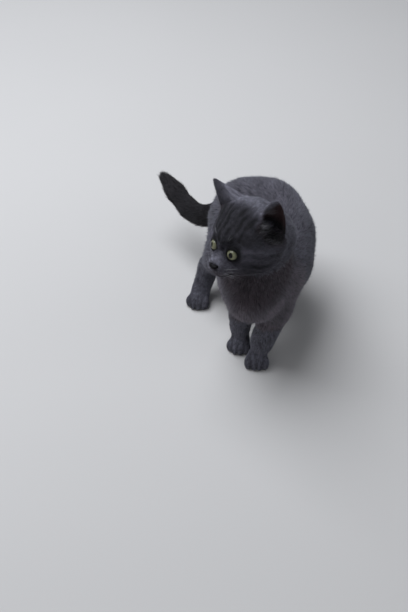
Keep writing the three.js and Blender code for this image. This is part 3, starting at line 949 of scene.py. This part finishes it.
def new_group(name, inputs, outputs):
    """An empty shader group with named sockets. Returns its Nodes, its inputs and its outputs."""
    tree = bpy.data.node_groups.new(name, "ShaderNodeTree")
    for label, kind, value in inputs:
        socket = tree.interface.new_socket(label, in_out="INPUT", socket_type="NodeSocket" + kind)
        if value is not None:
            socket.default_value = value
    for label, kind in outputs:
        tree.interface.new_socket(label, in_out="OUTPUT", socket_type="NodeSocket" + kind)
    nodes = Nodes(tree)
    return nodes, nodes.add("NodeGroupInput").outputs, nodes.add("NodeGroupOutput").inputs


def new_material(name):
    """A material with one Principled shader. Returns it, its Nodes and the shader's inputs."""
    material = bpy.data.materials.new(name)
    material.use_nodes = True
    nodes = Nodes(material.node_tree)
    return material, nodes, material.node_tree.nodes["Principled BSDF"].inputs


def colour(red, green, blue):
    return (red, green, blue, 1.0)


def grey(amount):
    return colour(amount, amount, amount)


def scaled(tint, factor):
    """A colour made lighter or darker."""
    return colour(*(channel * factor for channel in tint[:3]))


SLATE = colour(0.075, 0.072, 0.092)
SLATE_DARK = colour(0.010, 0.0095, 0.012)
SLATE_PALE = colour(0.24, 0.24, 0.29)
BROWN_TINGE = colour(1.0, 0.80, 0.74)
SHEEN_BLUE = colour(0.85, 0.88, 1.0)
# reddish skin of the ear's lining, darkened as painted shade in the cup, and the painted shade deep in its
# hollow
EAR_SKIN_IN_SHADE = colour(0.040, 0.017, 0.018)
EAR_PAINTED_SHADE = colour(0.006, 0.005, 0.006)
LEATHER = colour(0.004, 0.0035, 0.0045)
IRIS_INNER = colour(0.12, 0.122, 0.07)
IRIS_GOLD = colour(0.28, 0.28, 0.17)
IRIS_GREEN = colour(0.235, 0.24, 0.15)
IRIS_OUTER = colour(0.035, 0.035, 0.028)
IRIS_AMBER = colour(0.24, 0.21, 0.11)
EYE_WHITE = colour(0.10, 0.085, 0.08)


def coat_colour_group():
    """Colour of the slate coat from how light it is, which also holds painted highlights and painted
    shade, its brown tinge and the ear's lining, whose skin is painted darker as shade and black deep in
    its hollow, with the mottling of the undercoat at two sizes."""
    shares = [("Light", "Float", 1.0)]
    shares += [(label, "Float", 0.0) for label in ("Tinge", "Lining", "Hollow")]
    nodes, given, out = new_group(
        "coat_colour", shares + [("Place", "Vector", None)], [("Colour", "Color"), ("Mottle", "Float")]
    )
    broad, fine = (
        nodes.noise(Scale=scale, Detail=2.0, Roughness=0.6, Vector=given["Place"])
        for scale in (55.0, 330.0)
    )
    mottle = nodes.maths("ADD", nodes.maths("MULTIPLY", broad, 0.45), nodes.maths("MULTIPLY", fine, 0.55))
    light = nodes.maths("MULTIPLY", given["Light"], nodes.step(mottle, 0.3, 0.7, 0.66, 1.34))
    half = nodes.maths("MULTIPLY", light, 0.5)
    slate = nodes.ramp(half, (0.12, SLATE_DARK), (0.5, SLATE), (1.0, SLATE_PALE))
    tinged = nodes.blend(given["Tinge"], slate, nodes.blend(1.0, slate, BROWN_TINGE, "MULTIPLY"))
    # painted shade: the ear's lining darker, and black deep in its hollow
    bare = nodes.blend(given["Hollow"], EAR_SKIN_IN_SHADE, EAR_PAINTED_SHADE)
    nodes.put(nodes.blend(given["Lining"], tinged, bare), out["Colour"])
    nodes.put(mottle, out["Mottle"])
    return nodes.tree


def pebble_group():
    """Fine pebbled grain of bare skin: a height and a mask of its hollows."""
    nodes, given, out = new_group(
        "pebbled_skin",
        [("Place", "Vector", None), ("Scale", "Float", 900.0)],
        [("Height", "Float"), ("Hollow", "Float")],
    )
    settings = {"feature": "SMOOTH_F1"}
    cells = nodes.add("ShaderNodeTexVoronoi", settings, Vector=given["Place"], Scale=given["Scale"])
    height = nodes.step(cells.outputs["Distance"], 0.0, 0.6, 1.0, 0.0)
    nodes.put(height, out["Height"])
    nodes.put(nodes.step(height, 0.0, 0.5, 1.0, 0.0), out["Hollow"])
    return nodes.tree


coat_colour = coat_colour_group()
pebbled_skin = pebble_group()


def coat_nodes(nodes):
    """Outputs of the shared coat colour, which reads the values that each mesh carries."""
    shares = {name.title(): nodes.attribute(name) for name in ("light", "tinge", "lining", "hollow")}
    place = nodes.attribute("place", "Vector")
    return nodes.add("ShaderNodeGroup", {"node_tree": coat_colour}, Place=place, **shares).outputs


def skin_material():
    """Skin under the coat, with short flat hair as bump."""
    material, nodes, shader = new_material("short_coat")
    under = nodes.blend(1.0, coat_nodes(nodes)["Colour"], grey(0.62), "MULTIPLY")
    hair = nodes.noise(Scale=900.0, Detail=2.0, Vector=nodes.attribute("place", "Vector"))
    nodes.put(under, shader["Base Color"])
    nodes.put(nodes.bump(Strength=0.5, Distance=0.0006, Height=hair), shader["Normal"])
    shader["Roughness"].default_value = 0.85
    shader["Specular IOR Level"].default_value = 0.25
    return material


def fur_material():
    """Tufts: darker at the root as painted shade where the coat shades itself, lighter towards the tip,
    each with its own tone.
    """
    material, nodes, shader = new_material("slate_fur")
    given = coat_nodes(nodes)
    # painted shade: each tuft darker at its root, where the coat shades itself
    along = nodes.step(nodes.attribute("along"), 0.0, 1.0, 0.50, 1.36)
    tone = nodes.maths("MULTIPLY", along, nodes.attribute("tone"))
    sheen = nodes.step(nodes.attribute("light"), 0.2, 1.0, 0.02, 0.16)
    nodes.put(nodes.times(given["Colour"], tone), shader["Base Color"])
    nodes.put(nodes.step(given["Mottle"], 0.3, 0.7, 0.62, 0.82), shader["Roughness"])
    nodes.put(sheen, shader["Sheen Weight"])
    shader["Specular IOR Level"].default_value = 0.3
    shader["Sheen Roughness"].default_value = 0.45
    shader["Sheen Tint"].default_value = SHEEN_BLUE
    return material


def leather_material(name, base, scale, roughness, gloss):
    """Bare dark skin of the nose and the lids."""
    material, nodes, shader = new_material(name)
    place = nodes.position()
    group = nodes.add("ShaderNodeGroup", {"node_tree": pebbled_skin}, Scale=scale, Place=place)
    pebbles = group.outputs
    patches = nodes.noise(Scale=220.0, Vector=place)
    shade = nodes.blend(nodes.step(patches, 0.35, 0.7), base, scaled(base, 1.6))
    grain = nodes.bump(Strength=0.35, Distance=0.0003, Height=pebbles["Height"])
    # painted shade: the hollows of the grain are darker
    nodes.put(nodes.blend(pebbles["Hollow"], shade, scaled(base, 0.5)), shader["Base Color"])
    nodes.put(grain, shader["Normal"])
    nodes.put(nodes.step(patches, 0.3, 0.7, roughness, roughness + 0.15), shader["Roughness"])
    shader["Specular IOR Level"].default_value = 0.1
    shader["Coat Weight"].default_value = gloss
    shader["Coat Roughness"].default_value = 0.25
    return material


def eye_material():
    """A pupil, an iris with radial fibres from gold to green, a dark rim and a dim white, with painted
    shade of the upper lid over the top of the iris.
    """
    material, nodes, shader = new_material("wet_eye")
    place = nodes.attribute("eye_place", "Vector")
    x, y, _ = nodes.add("ShaderNodeSeparateXYZ", Vector=place).outputs
    flat = nodes.add("ShaderNodeCombineXYZ", X=x, Y=y).outputs[0]
    radius = nodes.vector_maths("LENGTH", "Value", _0=flat)
    around = nodes.vector_maths("NORMALIZE", _0=flat)
    fibre = nodes.noise(Scale=9.0, Detail=4.0, Roughness=0.7, Vector=around)
    patchy = nodes.noise(Scale=0.45, Detail=2.0, Vector=place)
    uneven = nodes.maths("MULTIPLY", nodes.maths("SUBTRACT", fibre, 0.5), 0.35)
    share = nodes.maths("ADD", nodes.maths("DIVIDE", radius, IRIS_RADIUS), uneven)
    iris = nodes.ramp(
        share, (0.30, IRIS_INNER), (0.55, IRIS_GOLD), (0.74, IRIS_GREEN), (0.95, IRIS_OUTER)
    )
    iris = nodes.times(iris, nodes.step(fibre, 0.35, 0.65, 0.72, 1.2))
    iris = nodes.blend(nodes.step(patchy, 0.5, 0.75, 0.0, 0.5), iris, IRIS_AMBER)
    # painted shade of the upper lid: the iris darker towards its top
    iris = nodes.times(iris, nodes.step(y, -2.5, 4.5, 1.0, 0.5))
    rim = nodes.step(radius, IRIS_RADIUS * 0.88, IRIS_RADIUS * 1.02)
    white = nodes.step(radius, IRIS_RADIUS * 1.02, IRIS_RADIUS * 1.1)
    outside = nodes.blend(white, nodes.blend(rim, iris, grey(0.006)), EYE_WHITE)
    tall = nodes.vector_maths("MULTIPLY", _0=flat, _1=(1.15, 0.9, 1.0))
    from_pupil = nodes.vector_maths("LENGTH", "Value", _0=tall)
    pupil = nodes.step(from_pupil, PUPIL_RADIUS * 0.9, PUPIL_RADIUS * 1.1)
    nodes.put(nodes.blend(pupil, grey(0.002), outside), shader["Base Color"])
    nodes.put(nodes.step(fibre, 0.3, 0.7, 0.30, 0.45), shader["Roughness"])
    shader["Specular IOR Level"].default_value = 0.06
    shader["Coat Weight"].default_value = 0.65
    shader["Coat Roughness"].default_value = 0.03
    shader["Coat IOR"].default_value = 1.36
    return material


def hair_material(name, dark, pale):
    """Single long hairs, a little uneven in tone."""
    material, nodes, shader = new_material(name)
    bands = nodes.noise(Scale=400.0, Vector=nodes.position())
    nodes.put(nodes.blend(bands, dark, pale), shader["Base Color"])
    shader["Roughness"].default_value = 0.4
    return material


def floor_material():
    """A matt pale floor with a faint cloudiness."""
    material, nodes, shader = new_material("pale_floor")
    grain = nodes.noise(Scale=8.0, Detail=3.0)
    shade = nodes.blend(grain, colour(0.52, 0.51, 0.50), colour(0.58, 0.57, 0.56))
    nodes.put(shade, shader["Base Color"])
    shader["Roughness"].default_value = 0.9
    return material


# ---------------------------------------------------------------- skin object

skin = new_object("skin", points, triangles)
carried = {"light": light, "tinge": warm, "lining": lining, "hollow": hollow}
for name, values in carried.items():
    set_attribute(skin.data, name, values)
set_attribute(skin.data, "place", points * MM)
skin.data.materials.append(skin_material())
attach(skin, "root")
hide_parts(*FLESH)


def unwrap(made):
    """An unwrap of the skin's own shape, in a layer named OFBake."""
    made.data.uv_layers.new(name="OFBake")
    bpy.context.view_layer.objects.active = made
    made.select_set(True)
    bpy.ops.object.mode_set(mode="EDIT")
    bpy.ops.mesh.select_all(action="SELECT")
    bpy.ops.uv.smart_project(angle_limit=math.radians(66), island_margin=0.002)
    bpy.ops.object.mode_set(mode="OBJECT")
    return read(made.data.uv_layers["OFBake"].data, "uv", 2, np.float32).reshape(-1, 3, 2)


skin_map = unwrap(skin)

# ---------------------------------------------------------------- tufts

TUFT_BEND = 0.42  # where a tuft is widest, as a share of its length
TUFT_ROOT = 0.4  # how deep it starts under the skin
LOWEST_HAIR = 0.3  # no hair comes nearer to the floor
# The five points of a tuft are its root, three round its bend, and its tip.
TUFT_FACES = np.array([(0, 2, 1), (0, 3, 2), (0, 1, 3), (1, 2, 4), (2, 3, 4), (3, 1, 4)])
TUFT_ALONG = np.array([0.0, 0.45, 0.45, 0.45, 1.0])
TUFT_ACROSS = np.array([0.5, 0.0, 0.5, 1.0, 0.5])
EDGE_OF_MAP = 0.0005  # the patches of the tufts keep this far inside the unwrap


def soft_noise(places, size, seed):
    """Three smooth waves-of-noise over space, from sums of sines."""
    waves = np.random.default_rng(seed)
    total = np.zeros((len(places), 3))
    for _ in range(9):
        way = unit(waves.normal(size=3)) / (size * waves.uniform(0.6, 1.6))
        swell = np.sin(places @ way * 2 * math.pi + waves.uniform(0, 6.3))
        total += swell[:, None] * waves.normal(size=3)
    return total / 3


def scatter(density):
    """Roots for the tufts: the triangle of each, and where it lies between that triangle's corners."""
    corners = points[triangles]
    across = np.cross(corners[:, 1] - corners[:, 0], corners[:, 2] - corners[:, 0])
    wanted = np.linalg.norm(across, axis=1) / 2 * density[triangles].mean(1)
    number = np.floor(wanted + rng.random(len(wanted))).astype(int)
    owner = np.repeat(np.arange(len(triangles)), number)
    a, b = rng.random((2, len(owner)))
    folded = a + b > 1
    a[folded], b[folded] = 1 - a[folded], 1 - b[folded]
    return owner, np.column_stack([1 - a - b, a, b])


def on_roots(values):
    """The values of the skin at the roots of the tufts."""
    return np.einsum("nk,nk...->n...", shares, values[triangles[owner]])


def copies(name, shapes, triangles):
    """One object from many shapes that all have the same triangles."""
    count, corners = shapes.shape[:2]
    faces = np.arange(count)[:, None, None] * corners + triangles
    return new_object(name, shapes.reshape(-1, 3), faces.reshape(-1, 3))


def tuft_shapes():
    """Points of closed tufts: each rises from its root, is widest at a ring of three points, and
    bends over there to lie along the skin as far as its tip."""
    lift = np.arcsin(np.clip(depth / length, 0.05, 0.9))[:, None]
    steep, flat = lift * 1.6, lift * 0.6
    lower, upper = TUFT_BEND * length[:, None], (1 - TUFT_BEND) * length[:, None]
    bend = root + lower * (np.cos(steep) * way + np.sin(steep) * normal)
    tip = bend + upper * (np.cos(flat) * way + np.sin(flat) * normal)
    side = width[:, None] * unit(np.cross(way, normal))
    over = 0.5 * width[:, None] * normal
    shapes = np.stack([root - TUFT_ROOT * normal, bend + side, bend + over, bend - side, tip], 1)
    shapes[..., 2] = np.maximum(shapes[..., 2], LOWEST_HAIR)
    return shapes


def tuft_piece(name, chosen):
    """One object that holds many tufts, each with its patch of the unwrap at its root's place."""
    made = copies(name, shapes[chosen], TUFT_FACES)
    for key, values in root_values.items():
        set_attribute(made.data, key, np.repeat(values[chosen], len(TUFT_ALONG), axis=0))
    set_attribute(made.data, "along", np.tile(TUFT_ALONG, len(chosen)))
    patch = PATCH * np.column_stack([TUFT_ACROSS - 0.5, TUFT_ALONG - 0.5])
    places = np.clip(root_map[chosen][:, None, :] + patch[None], EDGE_OF_MAP, 1 - EDGE_OF_MAP)
    layer = made.data.uv_layers.new(name="OFBake")
    layer.data.foreach_set("uv", places[:, TUFT_FACES].astype(np.float32).ravel())
    made.data.materials.append(fur)
    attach(made, "root")


def eye_clear(places):
    """None on the eyes and their lids, one away from them, and the way out from the nearest eye."""
    share = np.ones(len(places))
    away = np.zeros_like(places)
    for middle, gaze in eyes.values():
        out = places - middle
        ahead = out @ gaze
        beside = out - np.outer(ahead, gaze)
        distance = np.linalg.norm(beside, axis=1) + np.where(ahead > 0, 0, 60)
        share = np.minimum(share, smoothstep(6.1, 11, distance))
        away += unit(beside) * bell(distance, 11)[:, None]
    return share, away


def nose_clear(places):
    """Over one away from the nose pad, where hair may stand."""
    x, y, z = ((to_head(places) - NOSE_AT) / (NOSE_HALF + 0.5)).T
    return np.sqrt((x / nose_width(z)) ** 2 + y ** 2 + z ** 2)


density = fields[:, DENSITY] * (1 - 0.72 * lining) * (1 - 0.8 * bell(from_lips(q_side), 1.0) * face)
density = density * np.where(points[:, 2] < SOLE_HEIGHT, 0.15, 1.0) * (1 - 0.6 * pits)
fields[:, LENGTH] = mix(fields[:, LENGTH], 3.0, np.maximum(pits, 0.8 * pit_rims))
fields[:, DEPTH] = mix(fields[:, DEPTH], 0.8, np.maximum(pits, 0.7 * pit_rims))
owner, shares = scatter(density)
root = on_roots(points)
eye_share, eye_away = eye_clear(root)
kept = (eye_share > 0.001) & (nose_clear(root) > 1.0)
owner, shares, root, eye_share, eye_away = (
    values[kept] for values in (owner, shares, root, eye_share, eye_away)
)
normal = unit(on_roots(normals))
root_fields = on_roots(fields)
root_map = np.einsum("nk,nkc->nc", shares, skin_map[owner])

way = unit(root_fields[:, LIE]) + 0.9 * eye_away
way = way + 0.16 * soft_noise(root, 9, 3) + 0.10 * soft_noise(root, 4, 5)
way = way + 0.10 * rng.normal(size=root.shape)
way = unit(way - normal * dots(way, normal)[:, None])
length = root_fields[:, LENGTH] * rng.uniform(0.75, 1.12, len(root)) * mix(0.55, 1.0, eye_share)
depth = root_fields[:, DEPTH] * rng.uniform(0.9, 1.35, len(root)) * mix(0.5, 1.0, eye_share)
guard = (rng.random(len(root)) < GUARD_HAIRS) & (root_fields[:, LENGTH] > 5)
length = np.where(guard, GUARD_LENGTH, 1.0) * length
depth = np.where(guard, GUARD_DEPTH, 1.0) * depth
width = root_fields[:, WIDTH] * rng.uniform(0.8, 1.2, len(root))
shapes = tuft_shapes()

root_values = {key: on_roots(values) for key, values in carried.items()}
clumps = soft_noise(root, 5, 8)[:, 0] + soft_noise(root, 2.4, 9)[:, 0]
root_values["tone"] = 1 + 0.20 * rng.normal(size=len(root)) + 0.10 * clumps
root_values["place"] = root * MM
root_node = node_number[triangles[owner, 0]]
fur = fur_material()
for part, nodes_of_part in COAT_PIECES.items():
    chosen = np.flatnonzero(among(root_node, *nodes_of_part))
    groups = np.array_split(chosen, max(math.ceil(len(chosen) / TUFTS_A_PIECE), 1))
    for number, group in enumerate(groups):
        tuft_piece("coat_%s_%d" % (part, number + 1), group)

# ---------------------------------------------------------------- eyes


def eyeball(side):
    """A round eyeball with its cornea, from rings round its gaze."""
    middle, gaze = eyes[side]
    cornea_at = EYE_RADIUS + CORNEA_RISE - CORNEA_RADIUS
    rows, places = [], []
    for row in range(EYE_ROWS + 1):
        angle = math.pi * (row / EYE_ROWS) ** 1.3
        reach = CORNEA_RADIUS**2 - (cornea_at * math.sin(angle)) ** 2
        cornea = cornea_at * math.cos(angle) + math.sqrt(max(reach, 0)) if angle < 1 else 0
        radius = max(EYE_RADIUS, cornea)
        ahead = radius * math.cos(angle)
        flat = circle(EYE_SEGMENTS) * radius * math.sin(angle)
        rows.append(middle + gaze * ahead + flat @ np.array(eye_sides(side)))
        places.append(np.column_stack([flat, np.full(EYE_SEGMENTS, ahead)]))
    faces = grid_faces(EYE_ROWS + 1, EYE_SEGMENTS)
    made = new_object("eyeball_" + side, np.concatenate(rows), faces)
    set_attribute(made.data, "eye_place", np.concatenate(places))
    clean_up(made)
    made.data.materials.append(wet_eye)
    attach(made, "root")
    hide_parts("eye_" + side)


def lids(side):
    """A dark rim round the eye: the margins of both lids, with a little fold."""
    middle, gaze = eyes[side]
    around = round_angles(LID_SEGMENTS)
    flat = circle(LID_SEGMENTS) @ np.array(eye_sides(side))
    opening = lid_opening(around)[:, None]
    upper = np.maximum(np.sin(around), 0)[:, None]
    rings = []
    for wider, height in LID_ROWS:
        angle = opening + math.radians(wider)
        radius = EYE_RADIUS + height + LID_FOLD * upper * (height > 0.3)
        rings.append((angle, radius + CORNEA_RISE * bell(angle, 0.55) * 0.8))
    rings.append((opening + LID_TUCK[0], EYE_RADIUS - LID_TUCK[1]))
    rows = [middle + radius * (np.cos(angle) * gaze + np.sin(angle) * flat) for angle, radius in rings]
    faces = grid_faces(len(rows) + 1, LID_SEGMENTS) % (len(rows) * LID_SEGMENTS)
    made = new_object("lids_" + side, np.concatenate(rows), faces)
    clean_up(made)
    made.data.materials.append(lid_skin)
    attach(made, "root")


wet_eye = eye_material()
lid_skin = leather_material("dark_lid", LEATHER, 1100.0, 0.5, 0.08)
for side in eyes:
    eyeball(side)
    lids(side)

# ---------------------------------------------------------------- nose


def nose_leather():
    """Nose pad: wide above and narrow below, with two comma nostrils and a groove down the middle."""
    rows = []
    for row in range(NOSE_ROWS + 1):
        polar = math.pi * row / NOSE_ROWS
        x, y = math.sin(polar) * circle(NOSE_SEGMENTS).T
        z = np.full(NOSE_SEGMENTS, math.cos(polar))
        square = np.sign(x) * np.abs(x) ** 0.85
        rows.append(np.column_stack([square * nose_width(z), y * 0.88 - 0.08 * z - 0.12, z * 0.92 + 0.16]))
    ball = np.concatenate(rows)
    place = NOSE_AT + ball * NOSE_HALF
    out = unit(ball / NOSE_HALF)
    front = smoothstep(0.1, 0.6, -ball[:, 1])
    x, z = np.abs(place[:, 0]), place[:, 2] - NOSE_AT[2]
    nostril = bell(np.hypot((x - 3.0) / 1.1, (z + 0.3) / 0.85), 1.0)
    comma = 0.9 * bell(np.hypot((x - 4.0) / 0.9, (z - 0.35 - 0.2 * x) / 0.5), 1.0)
    groove = bell(x, 0.35) * (1 - smoothstep(-0.5, 1.4, z))
    wings = bell(np.hypot((x - 3.6) / 2.0, (z - 1.3) / 1.6), 1.0)
    rise = front * (0.35 * wings - 1.5 * np.maximum(nostril, comma) - 0.5 * groove)
    place = from_head(place + out * rise[:, None])
    made = new_object("nose_leather", place, grid_faces(NOSE_ROWS + 1, NOSE_SEGMENTS))
    clean_up(made)
    made.data.materials.append(leather_material("nose_leather", LEATHER, 1300.0, 0.55, 0.05))
    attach(made, "root")
    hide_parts("nose")


nose_leather()

# ---------------------------------------------------------------- whiskers and ear hair

HAIR_RINGS = 12
HAIR_SIDES = 5
WHISKER_RADIUS = 0.10
WHISKER_ROOT = 0.5  # how deep it starts under the skin
EAR_HAIR_RADIUS = 0.08
EAR_HAIR_ROOT = 0.4
EAR_HAIR_LENGTH = (7, 13)
skin_tree = tree_of(points, triangles)


def on_skin(places):
    """The nearest points of the skin to places given in the head's frame."""
    return np.array([tuple(skin_tree.find_nearest(Vector(p))[0]) for p in from_head(places)])


def hair_tubes(name, starts, ways, lengths, sag, radius, material):
    """Thin closed tapering hairs, each bending from its own way towards the sag they share."""
    t = np.linspace(0, 1, HAIR_RINGS)
    reach = lengths[:, None] * t
    fall = lengths[:, None] * t**2
    line = starts[:, None] + ways[:, None] * reach[..., None] + sag * fall[..., None]
    along = unit(np.gradient(line, axis=1))
    side = unit(np.cross(along, along + (0.3, 0.5, 0.8)))
    over = np.cross(along, side)
    size = radius * (1 - 0.88 * t)[None, :, None]
    rings = [line + size * (x * side + y * over) for x, y in circle(HAIR_SIDES)]
    tube = np.stack(rings, 2).reshape(len(starts), -1, 3)
    shapes = np.concatenate([tube, line[:, :1], line[:, -1:]], 1)
    low = HAIR_RINGS * HAIR_SIDES
    top = low - HAIR_SIDES
    caps = [(low, (i + 1) % HAIR_SIDES, i) for i in range(HAIR_SIDES)]
    caps += [(low + 1, top + i, top + (i + 1) % HAIR_SIDES) for i in range(HAIR_SIDES)]
    made = copies(name, shapes, np.concatenate([halved(grid_faces(HAIR_RINGS, HAIR_SIDES)), caps]))
    made.data.materials.append(material)
    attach(made, "root")


def whiskers():
    """Rows of whiskers on each pad and a few over each eye."""
    pale = hair_material("whisker", colour(0.22, 0.22, 0.24), colour(0.42, 0.42, 0.45))
    draws = np.random.default_rng(21)
    sag = 0.22 * np.array([0, 0, -1.0]) + 0.10 * HEAD_Y
    for side, sign in SIDES.items():
        places, ways, lengths = [], [], []
        for row in range(4):
            for step in range(4 if row < 3 else 2):
                places.append((sign * (6.0 + 2.2 * step), -10 + 2.4 * step, -16.0 - 1.9 * row))
                fan = 0.20 - 0.22 * row + 0.04 * draws.normal()
                back = 0.55 + 0.22 * step + 0.06 * draws.normal()
                ways.append((sign, back, fan))
                lengths.append(30 - 4 * abs(row - 1) - 2.5 * (3 - step) + 2 * draws.normal())
        for step in range(2):
            places.append((sign * (10.5 + 3 * step), -1, 10.5 + 0.6 * step))
            ways.append((sign * (0.3 + 0.3 * step), 0.1, 0.9))
            lengths.append(13 - 2.5 * step)
        ways = from_head_way(unit(ways))
        starts = on_skin(places) - WHISKER_ROOT * ways
        name = "whiskers_" + side
        hair_tubes(name, starts, ways, np.array(lengths), sag, WHISKER_RADIUS, pale)


def ear_hairs():
    """Long pale hairs that cross the mouth of each ear from its inner edge and from below."""
    pale = hair_material("ear_hair", colour(0.06, 0.057, 0.06), colour(0.16, 0.155, 0.17))
    draws = np.random.default_rng(33)
    size = (EAR_HAIRS, 3)
    for name, ear in EARS.items():
        base, across, up, opening = ear_frame(ear)
        share = draws.uniform(0, 1, EAR_HAIRS)
        inner = base - 0.44 * across + np.outer(mix(-0.15, 0.45, share), up)
        below = base + np.outer(mix(-0.45, 0.35, share), across) - 0.26 * up
        from_inner = draws.random(EAR_HAIRS) < 0.5
        places = np.where(from_inner[:, None], inner, below) + 6 * opening + draws.normal(size=size)
        sideways = np.where(from_inner, 0.8, 0.25) + 0.25 * draws.normal(size=EAR_HAIRS)
        ways = np.outer(sideways, unit(across)) + 0.9 * unit(up) + 0.15 * opening
        ways = from_head_way(unit(ways + 0.18 * draws.normal(size=size)))
        sag = 0.35 * from_head_way(unit(across))
        lengths = draws.uniform(*EAR_HAIR_LENGTH, EAR_HAIRS)
        starts = on_skin(places) - EAR_HAIR_ROOT * ways
        hair_tubes("hair_" + name, starts, ways, lengths, sag, EAR_HAIR_RADIUS, pale)


whiskers()
ear_hairs()

# ---------------------------------------------------------------- floor, light and camera

FLOOR_REACH = 3000
FLOOR_DROP = 0.05  # how far the floor lies below the soles
SKY = colour(0.80, 0.84, 0.92)
SKY_STRENGTH = 0.20
# Square lamps: place and aim in metres, size, power and colour.
LAMPS = {
    "sky": ((-0.55, 0.35, 1.45), (0, 0, 0.1), 1.2, 30, (0.92, 0.95, 1.0)),
    "window": ((1.3, -0.5, 1.0), (0, 0, 0.1), 0.9, 2.5, (0.95, 0.97, 1.0)),
    "fill": ((-1.1, -1.2, 0.9), (0, 0, 0.12), 1.2, 2.0, (1.0, 0.98, 0.95)),
}
CAMERA_AT = (-33.7 * MM, -716.3 * MM, 722 * MM)
CAMERA_PITCH = math.radians(46)  # below level
CAMERA_LENS = 50
CAMERA_WIDTH = 36


def floor():
    """A wide level floor just under the soles."""
    ways = ((-1, -1), (1, -1), (1, 1), (-1, 1))
    corners = [(x * FLOOR_REACH, y * FLOOR_REACH, -FLOOR_DROP) for x, y in ways]
    made = new_object("floor", corners, [(0, 1, 2, 3)], smooth=False)
    made.data.materials.append(floor_material())


def studio():
    """A dim sky all round and three soft lamps."""
    world = bpy.data.worlds.new("studio")
    world.use_nodes = True
    sky = world.node_tree.nodes["Background"].inputs
    sky["Color"].default_value = SKY
    sky["Strength"].default_value = SKY_STRENGTH
    bpy.context.scene.world = world
    for name, (at, target, size, power, tint) in LAMPS.items():
        data = bpy.data.lights.new(name, "AREA")
        data.size = size
        data.energy = power
        data.color = tint
        lamp = bpy.data.objects.new(name, data)
        lamp.location = at
        lamp.rotation_euler = (Vector(target) - Vector(at)).to_track_quat("-Z", "Y").to_euler()
        bpy.context.scene.collection.objects.link(lamp)


def camera():
    """A camera above the chest that looks down at the kitten."""
    data = bpy.data.cameras.new("camera")
    data.lens = CAMERA_LENS
    data.sensor_width = CAMERA_WIDTH
    eye = bpy.data.objects.new("camera", data)
    eye.location = CAMERA_AT
    eye.rotation_euler = (math.pi / 2 - CAMERA_PITCH, 0, 0)
    bpy.context.scene.collection.objects.link(eye)
    bpy.context.scene.camera = eye


floor()
studio()
camera()
bpy.context.scene.view_settings.view_transform = "Standard"
